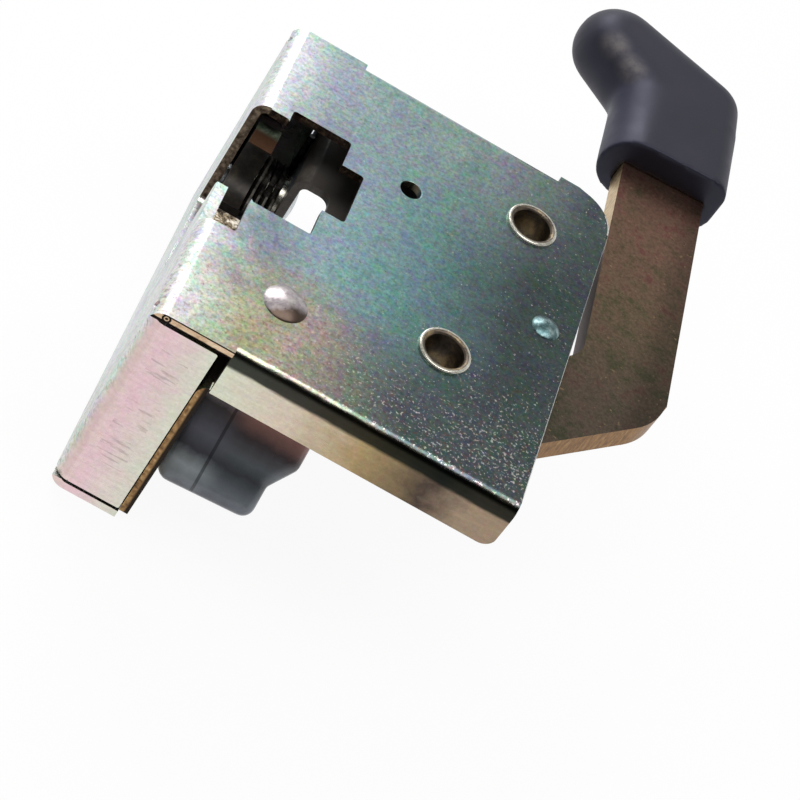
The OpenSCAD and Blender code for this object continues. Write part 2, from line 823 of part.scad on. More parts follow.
module release_pad() {
    edge = 2.4;
    flat = pad_t / 2 - edge;
    turns = [-90, -60, -30, 0];
    rows = concat(
        [for (a = turns) pad_loop(edge * (1 - cos(a)), -flat + edge * sin(a))],
        [for (k = [3:-1:0]) pad_loop(edge * (1 - cos(turns[k])), flat - edge * sin(turns[k]))]
    );
    n = len(rows[0]);
    mid = [leg_x + plate_t + pad_l / 2, 0];
    points = concat([for (row = rows, p = row) p], [[mid[0], mid[1], -pad_t / 2], [mid[0], mid[1], pad_t / 2]]);
    sides = [
        for (j = [0:len(rows) - 2], i = [0:n - 1])
            let (a = j * n + i, b = j * n + (i + 1) % n)
                each [[a, a + n, b + n], [a, b + n, b]]
    ];
    low = [for (i = [0:n - 1]) [8 * n, i, (i + 1) % n]];
    high = [for (i = [0:n - 1]) [8 * n + 1, 7 * n + (i + 1) % n, 7 * n + i]];
    color("dimgray") difference() {
        translate([0, tab_c[0], tab_c[1]]) rotate([tab_a, 0, 0])
            polyhedron(points, concat(sides, low, high));
        along_x(claw_x, leg_x + plate_t + pad_l - 5.4) tab_section();
    }
}

housing();
back_plate();
lower_bush();
upper_bush();
lever_rivet();
stop_rivet();
lever_washer();
lever();
grip();
lever_spring();
claw();
claw_pivot();
claw_sleeve();
claw_spring();
claw_stop();
pawl();
pawl_pivot();
pawl_sleeve();
pawl_spring();
release_pad();
lower_spacer();
upper_spacer();
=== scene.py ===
# Car door lock: the looks of its pieces, and the studio
import json
import math
import bpy
from mathutils import Matrix, Vector


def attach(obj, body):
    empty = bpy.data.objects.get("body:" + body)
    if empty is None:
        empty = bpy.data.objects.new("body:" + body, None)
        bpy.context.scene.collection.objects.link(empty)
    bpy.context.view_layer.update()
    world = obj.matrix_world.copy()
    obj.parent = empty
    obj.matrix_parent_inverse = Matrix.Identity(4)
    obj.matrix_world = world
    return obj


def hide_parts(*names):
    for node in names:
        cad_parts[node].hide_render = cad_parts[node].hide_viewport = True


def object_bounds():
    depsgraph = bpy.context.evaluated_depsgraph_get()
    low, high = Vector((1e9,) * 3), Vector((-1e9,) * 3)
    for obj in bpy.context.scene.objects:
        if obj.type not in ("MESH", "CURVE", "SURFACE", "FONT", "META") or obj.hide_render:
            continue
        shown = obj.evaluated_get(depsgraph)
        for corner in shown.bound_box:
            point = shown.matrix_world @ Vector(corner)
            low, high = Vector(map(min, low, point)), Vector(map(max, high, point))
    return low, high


mm = 0.001
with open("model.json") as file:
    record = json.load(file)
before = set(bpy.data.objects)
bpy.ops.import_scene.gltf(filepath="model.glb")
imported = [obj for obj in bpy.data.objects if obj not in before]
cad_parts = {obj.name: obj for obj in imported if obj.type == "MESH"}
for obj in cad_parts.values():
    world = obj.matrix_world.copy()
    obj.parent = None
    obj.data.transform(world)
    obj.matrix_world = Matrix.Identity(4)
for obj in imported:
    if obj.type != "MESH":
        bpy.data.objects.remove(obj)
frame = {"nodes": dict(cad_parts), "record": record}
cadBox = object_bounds()
nodes = frame["nodes"]
print("frame loaded:", len(nodes), "solids")


def linear(hexColour):
    # sRGB hex to the linear colour that a shader takes
    parts = [int(hexColour[i:i + 2], 16) / 255 for i in (1, 3, 5)]
    return (*(c / 12.92 if c <= 0.04045 else ((c + 0.055) / 1.055) ** 2.4 for c in parts), 1.0)


def addNode(tree, kind, settings=None, inputs=None):
    # one shader node, its settings and what goes into its sockets: numbers, colours, sockets to
    # link, or a node, which stands for its first output in use
    node = tree.nodes.new("ShaderNode" + kind)
    for name, value in (settings or {}).items():
        if name == "stops":
            ramp = node.color_ramp
            while len(ramp.elements) < len(value):
                ramp.elements.new(0.5)
            for element, (place, colour) in zip(ramp.elements, value):
                element.position = place
                element.color = linear(colour)
        else:
            setattr(node, name, value)
    for name, value in (inputs or {}).items():
        if isinstance(value, bpy.types.Node):
            value = next(output for output in value.outputs if output.enabled)
        if isinstance(value, bpy.types.NodeSocket):
            tree.links.new(value, node.inputs[name])
        else:
            node.inputs[name].default_value = value
    return node


# settings that many nodes share
eased = {"interpolation_type": "SMOOTHSTEP"}
colourMix = {"data_type": "RGBA"}
colourTimes = {"data_type": "RGBA", "blend_type": "MULTIPLY"}
times = {"operation": "MULTIPLY"}
timesPlus = {"operation": "MULTIPLY_ADD"}
nearTo = {"operation": "COMPARE"}
noiseBand = {"From Min": 0.3, "From Max": 0.7}      # where nearly all of a noise's values lie


def newMaterial(name):
    # a material without nodes
    material = bpy.data.materials.new(name)
    material.use_nodes = True
    material.node_tree.nodes.clear()
    return material, material.node_tree


def deselect():
    if bpy.context.object and bpy.context.object.mode != "OBJECT":
        bpy.ops.object.mode_set(mode="OBJECT")
    bpy.ops.object.select_all(action="DESELECT")


def pick(piece):
    # only this piece selected and active
    deselect()
    piece.select_set(True)
    bpy.context.view_layer.objects.active = piece


solids = {
    "weld": 0.002 * mm,     # corners nearer than this are one
    "flat": 0.4,            # degrees up to which neighbouring faces are one flat face
    "sharp": 35,            # degrees from which an edge counts as sharp
    "onEdge": 0.5,          # a cut edge's normal has less than this along the sheet's thickness
    "steps": 2,             # faces across an edge's radius
}
beyond = 1000               # a limit past everything


def copyOfSolid(node, name, material):
    # a merged copy of one CAD solid in its material, flat faces joined up, ready to be finished
    source = nodes[node]
    piece = bpy.data.objects.new(name, source.data.copy())
    bpy.context.scene.collection.objects.link(piece)
    piece.data.materials.clear()
    pick(piece)
    bpy.ops.mesh.customdata_custom_splitnormals_clear()
    bpy.ops.object.mode_set(mode="EDIT")
    bpy.ops.mesh.select_all(action="SELECT")
    bpy.ops.mesh.remove_doubles(threshold=solids["weld"])
    bpy.ops.mesh.dissolve_limited(angle_limit=math.radians(solids["flat"]))
    bpy.ops.object.mode_set(mode="OBJECT")
    piece.data.materials.append(material)
    return piece


def inZone(point, zone):
    # whether a point in millimetres, or a normal, lies between a zone's two limits for each axis
    # that the zone names
    return all(low < point["xyz".index(axis)] < high for axis, (low, high) in zone.items())


def bevelWhere(piece, width, clamped, *zones):
    # a wider radius on the sharp edges with both ends in the zones; clamped narrows it where it
    # would run into its neighbours
    pick(piece)
    bpy.ops.object.mode_set(mode="EDIT")
    bpy.ops.mesh.select_mode(type="EDGE")
    bpy.ops.mesh.select_all(action="DESELECT")
    bpy.ops.mesh.edges_select_sharp(sharpness=math.radians(solids["sharp"]))
    bpy.ops.object.mode_set(mode="OBJECT")
    points = piece.data.vertices
    chosen = [edge.index for edge in piece.data.edges if edge.select and all(
        any(inZone(points[i].co / mm, zone) for zone in zones) for i in edge.vertices)]
    for elements in (piece.data.polygons, piece.data.edges, points):
        elements.foreach_set("select", [False] * len(elements))
    for index in chosen:
        edge = piece.data.edges[index]
        edge.select = True
        for i in edge.vertices:
            points[i].select = True
    bpy.ops.object.mode_set(mode="EDIT")
    bpy.ops.mesh.bevel(
        offset=width, segments=solids["steps"], affect="EDGES", clamp_overlap=clamped, material=0)
    bpy.ops.object.mode_set(mode="OBJECT")


def breakEdges(piece, width, edgeSlot=-1):
    # the small radius that shearing, tumbling or moulding leaves on every sharp edge
    pick(piece)
    bevel = piece.modifiers.new("edge radius", "BEVEL")
    bevel.width = width
    bevel.segments = solids["steps"]
    bevel.limit_method = "ANGLE"
    bevel.angle_limit = math.radians(solids["sharp"])
    bevel.miter_outer = "MITER_ARC"
    bevel.material = edgeSlot
    bpy.ops.object.modifier_apply(modifier=bevel.name)
    bpy.ops.object.shade_smooth_by_angle(angle=math.radians(solids["sharp"]))
    flat = piece.modifiers.new("flat faces stay flat", "WEIGHTED_NORMAL")
    flat.mode = "FACE_AREA"
    flat.weight = 100
    flat.keep_sharp = True
    bpy.ops.object.modifier_apply(modifier=flat.name)


def finishPiece(piece, body, slot, *replaced):
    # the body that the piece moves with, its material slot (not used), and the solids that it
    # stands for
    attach(piece, body)
    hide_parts(*replaced)


# the photograph's viewing angle
view = {
    "sensor": 36,
    "lens": 127.96,
    "near": 0.01,
    "far": 20,
    "place": (-0.0817, -0.4329, 0.3874),
    "back": (-0.134, -0.723, 0.677),    # from the lock towards the camera
    "right": (0.864, 0.249, 0.437),
}

cameraData = bpy.data.cameras.new("camera")
cameraData.sensor_width = view["sensor"]
cameraData.lens = view["lens"]
cameraData.clip_start = view["near"]
cameraData.clip_end = view["far"]
camera = bpy.data.objects.new("camera", cameraData)
bpy.context.scene.collection.objects.link(camera)
cameraBack = Vector(view["back"]).normalized()
cameraRight = Vector(view["right"])
cameraRight = (cameraRight - cameraRight.dot(cameraBack) * cameraBack).normalized()
cameraUp = cameraBack.cross(cameraRight)
camera.matrix_world = Matrix.Translation(view["place"]) @ Matrix(
    (cameraRight, cameraUp, cameraBack)).transposed().to_4x4()
bpy.context.scene.camera = camera
bpy.context.scene.view_settings.view_transform = "Standard"
print("camera set")


# a pale floor, a soft world and two soft boxes, each with its place, target, size and watts
studio = {
    "floorSize": 30.0,
    "floorGap": 0.2 * mm,
    "floorColour": "#f2f2f2",
    "floorRough": 0.9,
    "floorWhite": 0.93,         # plain white share of the floor, to camera and glossy rays
    "worldLow": 1.0,            # at and below the horizon
    "worldBack": 0.56,          # high behind the lock
    "worldFront": 0.04,         # high on the camera's side
    "worldTurn": 0.45,          # how far front and back fade into each other
    "horizon": (0.10, 0.55),    # heights between which the low light ends
    "boxes": {
        "left soft box": ((-0.30, 0.58, 0.42), (-0.03, 0.03, 0), (0.45, 0.40), 2.4),
        "top strip box": ((0.03, -0.07, 0.72), (0, 0.02, 0), (0.80, 0.34), 3.4),
    },
}

floorZ = min(cadBox[0].z, 0) - studio["floorGap"]
deselect()
bpy.ops.mesh.primitive_plane_add(size=studio["floorSize"], location=(0, 0, floorZ))
floor = bpy.context.object
floor.name = "floor"
floorMaterial, tree = newMaterial("matt white floor")
shader = addNode(tree, "BsdfPrincipled", None, {
    "Base Color": linear(studio["floorColour"]), "Roughness": studio["floorRough"],
    "Specular IOR Level": 0.0})
lightPath = addNode(tree, "LightPath")
seen = addNode(tree, "Math", {"operation": "MAXIMUM"}, {
    0: lightPath.outputs["Is Camera Ray"], 1: lightPath.outputs["Is Glossy Ray"]})
seen = addNode(tree, "Math", {"operation": "MAXIMUM"}, {
    0: seen, 1: lightPath.outputs["Is Transmission Ray"]})
share = addNode(tree, "Math", times, {0: seen, 1: studio["floorWhite"]})
white = addNode(tree, "Emission", None, {"Color": (1, 1, 1, 1), "Strength": 1.0})
mixed = addNode(tree, "MixShader", None, {0: share, 1: shader, 2: white})
addNode(tree, "OutputMaterial", None, {"Surface": mixed})
floor.data.materials.append(floorMaterial)

world = bpy.data.worlds.new("soft studio")
bpy.context.scene.world = world
world.use_nodes = True
tree = world.node_tree
tree.nodes.clear()
direction = addNode(tree, "TexCoord")
parts = addNode(tree, "SeparateXYZ", None, {0: direction.outputs["Generated"]})
towardBack = addNode(tree, "MapRange", eased, {
    "Value": parts.outputs["Y"], "From Min": -studio["worldTurn"], "From Max": studio["worldTurn"],
    "To Min": studio["worldFront"], "To Max": studio["worldBack"]})
towardLow = addNode(tree, "MapRange", eased, {
    "Value": parts.outputs["Z"], "From Min": studio["horizon"][0], "From Max": studio["horizon"][1],
    "To Min": 1.0, "To Max": 0.0})
level = addNode(tree, "Mix", {"data_type": "FLOAT"}, {
    0: towardLow, 2: towardBack, 3: studio["worldLow"]})
background = addNode(tree, "Background", None, {"Color": (1, 1, 1, 1), "Strength": level})
addNode(tree, "OutputWorld", None, {"Surface": background})

for name, (place, target, size, power) in studio["boxes"].items():
    data = bpy.data.lights.new(name, "AREA")
    data.shape = "RECTANGLE"
    data.size, data.size_y = size
    data.energy = power
    lamp = bpy.data.objects.new(name, data)
    bpy.context.scene.collection.objects.link(lamp)
    lamp.location = place
    lamp.rotation_euler = (Vector(target) - Vector(place)).to_track_quat("-Z", "Y").to_euler()
    lamp.visible_camera = False
print("studio set")


peaks = {"From Min": 0.55, "From Max": 0.66}        # the high spots of a noise


def zincPlated(name, look):
    # Zinc-plated and passivated mild steel sheet, cold pressed: a grey metal with a soft sheen, its
    # base colour painted light at the left and dark at the right (painted highlight and shade),
    # blue, green, pink and straw films over it, and irregular bright flecks that are painted glints
    material, tree = newMaterial(name)
    coords = addNode(tree, "TexCoord")
    place = coords.outputs["Object"]
    split = addNode(tree, "SeparateXYZ", None, {0: place})
    facing = addNode(tree, "SeparateXYZ", None, {0: coords.outputs["Normal"]})
    drawn = addNode(tree, "Mapping", None, {"Vector": place, "Scale": look["drawnOut"]})
    noise = {}
    for pattern, (size, detail, rough, twist) in look["patterns"].items():
        noise[pattern] = addNode(tree, "TexNoise", None, {
            "Vector": drawn if pattern == "streak" else place, "Scale": 1 / size,
            "Detail": detail, "Roughness": rough, "Distortion": twist})
    alongX = addNode(tree, "MapRange", None, {
        "Value": split.outputs["X"], **look["acrossFace"]})
    wander = addNode(tree, "Math", timesPlus, {
        0: noise["drift"], 1: look["wanderX"], 2: -look["wanderX"] / 2})
    across = addNode(tree, "Math", {"operation": "ADD"}, {0: alongX, 1: wander})
    wanderY = addNode(tree, "Math", timesPlus, {
        0: noise["drift"], 1: look["wanderY"], 2: split.outputs["Y"]})
    # painted highlight and shade: the base colour falls from near white at the left to dark at the
    # right, as the light falls across the face, in three falls of tone, high, middle and low on the
    # face, faded together
    sheenTones = [addNode(tree, "ValToRGB", {"stops": look[row]}, {0: across})
             for row in ("topStops", "midStops", "lowStops")]
    topShare = addNode(tree, "MapRange", eased, {"Value": wanderY, **look["topRows"]})
    lowShare = addNode(tree, "MapRange", eased, {"Value": wanderY, **look["lowRows"]})
    upper = addNode(tree, "Mix", colourMix, {0: topShare, 6: sheenTones[1], 7: sheenTones[0]})
    paintedSheenTone = addNode(tree, "Mix", colourMix, {0: lowShare, 6: upper, 7: sheenTones[2]})
    # passivation films in patches, and finer ones inside them
    film = addNode(tree, "ValToRGB", {"stops": look["films"]}, {0: noise["patch"]})
    filmed = addNode(tree, "Mix", colourTimes, {0: look["filmShare"], 6: paintedSheenTone, 7: film})
    # the folded sides carry a tone that changes along the fold, cream through straw to brown, part
    # straw film and part painted reflection of the pale floor, drawn out into faint streaks
    sideShare = addNode(tree, "MapRange", eased, {
        "Value": facing.outputs["Y"], **look["sideFacing"]})
    sideAcross = addNode(tree, "Math", timesPlus, {
        0: noise["blotch"], 1: look["blotches"], 2: alongX})
    sideFilmAndReflection = addNode(tree, "ValToRGB", {"stops": look["sideStops"]}, {0: sideAcross})
    streakTone = addNode(tree, "MapRange", None, {
        "Value": noise["streak"], **noiseBand, **look["streakTones"]})
    streaked = addNode(tree, "Mix", colourTimes, {0: 1.0, 6: sideFilmAndReflection, 7: streakTone})
    # short dark rubs across the middle of the lower flap
    rub = addNode(tree, "MapRange", None, {
        "Value": noise["streak"], **peaks, "To Max": look["rubsAndHighlights"]})
    rubX = addNode(tree, "Math", nearTo, {
        0: split.outputs["X"], 1: look["rubX"][0], 2: look["rubX"][1]})
    rubZ = addNode(tree, "Math", nearTo, {
        0: split.outputs["Z"], 1: look["rubZ"][0], 2: look["rubZ"][1]})
    rubPlace = addNode(tree, "Math", times, {0: rubX, 1: rubZ})
    rubShare = addNode(tree, "Math", times, {0: rub, 1: rubPlace})
    rubbedAndHighlit = addNode(tree, "Mix", colourMix, {
        0: rubShare, 6: streaked, 7: linear(look["rubColour"])})
    toned = addNode(tree, "Mix", colourMix, {0: sideShare, 6: filmed, 7: rubbedAndHighlit})
    # grain of the plating, drawn coarser than it is: light and dark, with a little colour of its
    # own
    grainTone = addNode(tree, "MapRange", None, {
        "Value": noise["grain"], **noiseBand, **look["grainTones"]})
    grainShare = addNode(tree, "MapRange", None, {
        "Value": sideShare, "To Min": 1.0, "To Max": look["sideGrain"]})
    grained = addNode(tree, "Mix", colourTimes, {0: grainShare, 6: toned, 7: grainTone})
    rainbowShare = addNode(tree, "MapRange", None, {
        "Value": sideShare, "To Min": look["rainbow"], "To Max": look["sideRainbow"]})
    coloured = addNode(tree, "Mix", {"data_type": "RGBA", "blend_type": "OVERLAY"}, {
        0: rainbowShare, 6: grained, 7: noise["rainbow"].outputs["Color"]})
    # painted glints: bright flecks, more of them towards the lower right, none on the sides
    crowd = addNode(tree, "MapRange", None, {"Value": across, **look["crowd"]})
    lowCrowd = addNode(tree, "Math", timesPlus, {0: lowShare, 1: look["lowCrowd"], 2: crowd})
    crowded = addNode(tree, "Math", timesPlus, {
        0: noise["clump"], 1: look["clumping"], 2: lowCrowd})
    level = addNode(tree, "Math", {"operation": "ADD"}, {0: noise["fleck"], 1: crowded})
    bright = addNode(tree, "MapRange", None, {"Value": level, **look["glintFlecks"]})
    onFace = addNode(tree, "Math", {"operation": "SUBTRACT"}, {0: 1.0, 1: sideShare})
    glintShare = addNode(tree, "Math", times, {0: bright, 1: onFace})
    dark = addNode(tree, "MapRange", None, {"Value": noise["fleck"], **look["darkFlecks"]})
    darkShare = addNode(tree, "Math", times, {0: dark, 1: onFace})
    darkened = addNode(tree, "Mix", colourMix, {
        0: darkShare, 6: coloured, 7: linear(look["darkColour"])})
    glintTone = addNode(tree, "Mix", colourMix, {
        0: look["fleckTint"], 6: linear(look["brightColour"]),
        7: noise["rainbow"].outputs["Color"]})
    sparkled = addNode(tree, "Mix", colourMix, {0: glintShare, 6: darkened, 7: glintTone})
    # rust-brown specks low on the face
    speckTone = addNode(tree, "MapRange", None, {
        "Value": noise["speck"], **peaks, "To Max": look["specks"]})
    speckPlace = addNode(tree, "Math", times, {0: lowShare, 1: onFace})
    speckShare = addNode(tree, "Math", times, {0: speckTone, 1: speckPlace})
    specked = addNode(tree, "Mix", colourMix, {
        0: speckShare, 6: sparkled, 7: linear(look["speckColour"])})
    # painted shade: a dark green-black band over the lower bend, down to the top of the wall, with
    # the grain showing through
    wavy = addNode(tree, "Math", timesPlus, {
        0: noise["streak"], 1: look["bendWaver"], 2: split.outputs["Z"]})
    overBend = addNode(tree, "MapRange", eased, {
        "Value": wavy, **look["bendTop"], "To Max": look["bendDark"]})
    aboveWall = addNode(tree, "MapRange", eased, {"Value": wavy, **look["bendFoot"]})
    pastFlap = addNode(tree, "Math", {"operation": "GREATER_THAN"}, {
        0: split.outputs["X"], 1: look["flapEnd"]})
    lowerSide = addNode(tree, "Math", {"operation": "LESS_THAN"}, {
        0: split.outputs["Y"], 1: look["lowerEdge"]})
    bendShadeShare = overBend
    for mask in (aboveWall, pastFlap, lowerSide):
        bendShadeShare = addNode(tree, "Math", times, {0: bendShadeShare, 1: mask})
    bendShaded = addNode(tree, "Mix", colourMix, {
        0: bendShadeShare, 6: specked, 7: linear(look["bendShadeColour"])})
    # painted shade inside the box, under the main face: darker and less metallic there
    inside = None
    for axis, (middle, reach) in look["insideBox"].items():
        within = addNode(tree, "Math", nearTo, {0: split.outputs[axis], 1: middle, 2: reach})
        inside = within if inside is None else addNode(tree, "Math", times, {
            0: inside, 1: within})
    insideShaded = addNode(tree, "Mix", colourMix, {0: inside, 6: bendShaded, 7: linear(look["insideShade"])})
    metal = addNode(tree, "MapRange", None, {
        "Value": inside, "To Min": 1.0, "To Max": look["insideShadeMetal"]})
    # smoother over the lower bend, where the punch has rubbed it, and duller over the bend at the
    # mouth's side
    bend = addNode(tree, "MapRange", eased, {"Value": facing.outputs["Z"], **look["lowerBend"]})
    leftBend = addNode(tree, "MapRange", eased, {
        "Value": facing.outputs["X"], **look["leftBend"]})
    bend = addNode(tree, "Math", {"operation": "ADD"}, {0: bend, 1: leftBend})
    rough = addNode(tree, "MapRange", None, {
        "Value": noise["drift"], **noiseBand, **look["rough"]})
    roughness = addNode(tree, "Math", {"operation": "ADD"}, {0: rough, 1: bend})
    height = addNode(tree, "Math", timesPlus, {
        0: glintShare, 1: look["fleckHeight"], 2: noise["grain"]})
    bump = addNode(tree, "Bump", None, {**look["bump"], "Height": height})
    shader = addNode(tree, "BsdfPrincipled", None, {
        "Base Color": insideShaded, "Metallic": metal, "Roughness": roughness, "Normal": bump})
    addNode(tree, "OutputMaterial", None, {"Surface": shader})
    return material


sheetLook = {
    # size, detail, roughness and distortion of each noise
    "patterns": {
        "drift": (20 * mm, 4.0, 0.6, 0.8),      # how the falls of tone wander
        "patch": (11 * mm, 5.0, 0.72, 1.0),     # films on the face
        "blotch": (5 * mm, 4.0, 0.65, 0.5),     # films on the folded sides
        "streak": (1.1 * mm, 3.0, 0.6, 0.0),    # streaks and rubs on the folded sides
        "grain": (0.8 * mm, 3.0, 0.66, 0.0),
        "rainbow": (1.5 * mm, 2.0, 0.66, 0.0),
        "fleck": (0.7 * mm, 2.0, 0.6, 0.0),
        "clump": (6 * mm, 2.0, 0.6, 0.0),       # where flecks crowd together
        "speck": (1.3 * mm, 3.0, 0.6, 0.0),
    },
    "drawnOut": (0.15, 1.0, 1.0),               # stretch of the streaks, along the fold
    # the main face from left to right, and where one fall of tone fades into the next
    "acrossFace": {"From Min": -57.5 * mm, "From Max": 25.8 * mm},
    "topRows": {"From Min": 40 * mm, "From Max": 84 * mm},
    "lowRows": {"From Min": 24 * mm, "From Max": -8 * mm},
    "wanderX": 0.34,                            # as a share of the face's width
    "wanderY": 30 * mm,
    # painted highlight at the left end of each fall of tone, painted shade towards the right
    "topStops": [(0.0, "#e4e2e0"), (0.12, "#b4babe"), (0.36, "#9aaaa9"), (0.66, "#9ea9a7"),
                 (0.95, "#5a6463")],
    "midStops": [(0.0, "#ece9e7"), (0.18, "#8a919c"), (0.34, "#9cafb6"), (0.53, "#80a0a2"),
                 (0.82, "#525b5a")],
    "lowStops": [(0.0, "#ece6e4"), (0.20, "#bcb294"), (0.30, "#c7b1a3"), (0.53, "#7a8077"),
                 (0.65, "#5a6263")],
    "films": [(0.28, "#f2aed0"), (0.40, "#ccd2f6"), (0.50, "#ecf2f0"), (0.60, "#a8ecd8"),
              (0.74, "#f6deae")],
    "filmShare": 0.55,
    # folded sides
    "sideFacing": {"From Min": -0.35, "From Max": -0.92},
    # cream to straw along the fold: straw film with a painted reflection of the floor
    "sideStops": [(0.05, "#dbccc0"), (0.14, "#e4c5cb"), (0.27, "#d6dac7"), (0.46, "#d4c6b4"),
                  (0.67, "#aa936b"), (0.86, "#4f433c"), (0.97, "#9c8873")],
    "blotches": 0.14,
    "streakTones": {"To Min": 0.92, "To Max": 1.05},
    "rubsAndHighlights": 0.42,
    "rubColour": "#7f7074",
    "rubX": (-49.0 * mm, 3.6 * mm),             # middle and reach
    "rubZ": (-27 * mm, 19 * mm),
    # grain and flecks
    "grainTones": {"To Min": 0.74, "To Max": 1.24},
    "sideGrain": 0.3,
    "rainbow": 0.55,
    "sideRainbow": 0.1375,
    "crowd": {"From Min": 0.2, "From Max": 1.0, "To Min": -0.02, "To Max": 0.045},
    "lowCrowd": 0.085,
    "clumping": 0.2,
    # painted glints: where the bright flecks show, and their colour
    "glintFlecks": {"From Min": 0.78, "From Max": 0.90, "To Max": 0.75},
    "brightColour": "#fffdf0",
    "fleckTint": 0.5,
    "darkFlecks": {"From Min": 0.38, "From Max": 0.28, "To Max": 0.5},
    "darkColour": "#3f4243",
    "specks": 0.45,
    "speckColour": "#7a4c48",
    # lower bend
    # painted shade over the lower bend: its strength and colour
    "bendDark": 0.94,
    "bendShadeColour": "#131a17",
    "bendWaver": 1.2 * mm,
    "bendTop": {"From Min": 0.45 * mm, "From Max": -0.25 * mm},
    "bendFoot": {"From Min": -4.2 * mm, "From Max": -3.1 * mm},
    "flapEnd": -39.2 * mm,
    "lowerEdge": -28 * mm,
    # middle and reach of the painted shade inside, along each axis
    "insideBox": {"X": (-15 * mm, 39 * mm), "Y": (20 * mm, 47.5 * mm), "Z": (-8.8 * mm, 6.6 * mm)},
    "insideShade": "#645f5a",
    "insideShadeMetal": 0.25,
    "rough": {"To Min": 0.30, "To Max": 0.40},
    # change of roughness over the two bends
    "lowerBend": {"From Min": 0.99, "From Max": 0.94, "To Max": -0.10},
    "leftBend": {"From Min": -0.02, "From Max": -0.3, "To Max": 0.26},
    "fleckHeight": 0.8,
    "bump": {"Strength": 0.35, "Distance": 0.06 * mm},
}
sheetMaterial = zincPlated("zinc plated pressed sheet", sheetLook)


shearedLook = {
    "tear": {"Scale": 1 / (1.2 * mm), "Detail": 4.0, "Roughness": 0.65},
    "ragged": 0.6 * mm,         # wander of the border to the dark zone
    "border": 0.4 * mm,
    # painted shadow beyond the given x
    "shadowBand": "#2b231d",
    "ring": (0.8 * mm, 0.22 * mm),      # radius and half the line's width
    "dot": 0.35 * mm,
    "frayed": 0.3 * mm,
    "clearOff": 0.15 * mm,      # middle of the clear band, above the ring's centre
    "clearReach": 0.62 * mm,
    # painted shade at the rims of the flap's edge, and in the painted relief hole
    "rimShade": "#1d1815",
    "rough": 0.46,
    "bump": {"Strength": 0.5, "Distance": 0.08 * mm},
}


def shearedSteel(name, stops, shadowFromX=1.0, relief=None):
    # Sheared edge of the plated sheet: a rough torn band that the plating hardly covers, and
    # beyond the given x a dark zone, painted shadow between the leg and the pad; relief adds a
    # small dark ring and dot, a painted relief hole, and dark lines above and below, painted shade
    # at the rims
    material, tree = newMaterial(name)
    place = addNode(tree, "TexCoord").outputs["Object"]
    split = addNode(tree, "SeparateXYZ", None, {0: place})
    tear = addNode(tree, "TexNoise", None, {"Vector": place, **shearedLook["tear"]})
    tone = addNode(tree, "ValToRGB", {"stops": stops}, {0: tear})
    ragged = addNode(tree, "Math", timesPlus, {
        0: tear, 1: shearedLook["ragged"], 2: split.outputs["X"]})
    shadowBand = addNode(tree, "MapRange", None, {
        "Value": ragged, "From Min": shadowFromX, "From Max": shadowFromX + shearedLook["border"]})
    zoned = addNode(tree, "Mix", colourMix, {
        0: shadowBand, 6: tone, 7: linear(shearedLook["shadowBand"])})
    if relief:
        away = addNode(tree, "VectorMath", {"operation": "DISTANCE"}, {0: place, 1: relief})
        rim = addNode(tree, "Math", nearTo, {
            0: away, 1: shearedLook["ring"][0], 2: shearedLook["ring"][1]})
        dot = addNode(tree, "Math", {"operation": "LESS_THAN"}, {0: away, 1: shearedLook["dot"]})
        frayed = addNode(tree, "Math", timesPlus, {
            0: tear, 1: shearedLook["frayed"], 2: split.outputs["Z"]})
        clear = addNode(tree, "Math", nearTo, {
            0: frayed, 1: relief[2] + shearedLook["clearOff"], 2: shearedLook["clearReach"]})
        rimShade = addNode(tree, "Math", {"operation": "SUBTRACT"}, {0: 1.0, 1: clear})
        marked = rimShade
        for mark in (rim, dot):
            marked = addNode(tree, "Math", {"operation": "MAXIMUM"}, {0: marked, 1: mark})
        zoned = addNode(tree, "Mix", colourMix, {
            0: marked, 6: zoned, 7: linear(shearedLook["rimShade"])})
    bump = addNode(tree, "Bump", None, {**shearedLook["bump"], "Height": tear})
    shader = addNode(tree, "BsdfPrincipled", None, {
        "Base Color": zoned, "Metallic": 1.0, "Roughness": shearedLook["rough"], "Normal": bump})
    addNode(tree, "OutputMaterial", None, {"Surface": shader})
    return material


turnedLook = {
    "cloud": {"Detail": 4.0, "Roughness": 0.65, "Distortion": 0.4},
    "grain": {"Detail": 3.0, "Roughness": 0.7},
    "grainTones": {"To Min": 0.8, "To Max": 1.14},
    "shinier": 0.05,            # swing of the roughness
    "duller": 0.08,
    "bump": 0.25,
    "depth": 0.04 * mm,
}


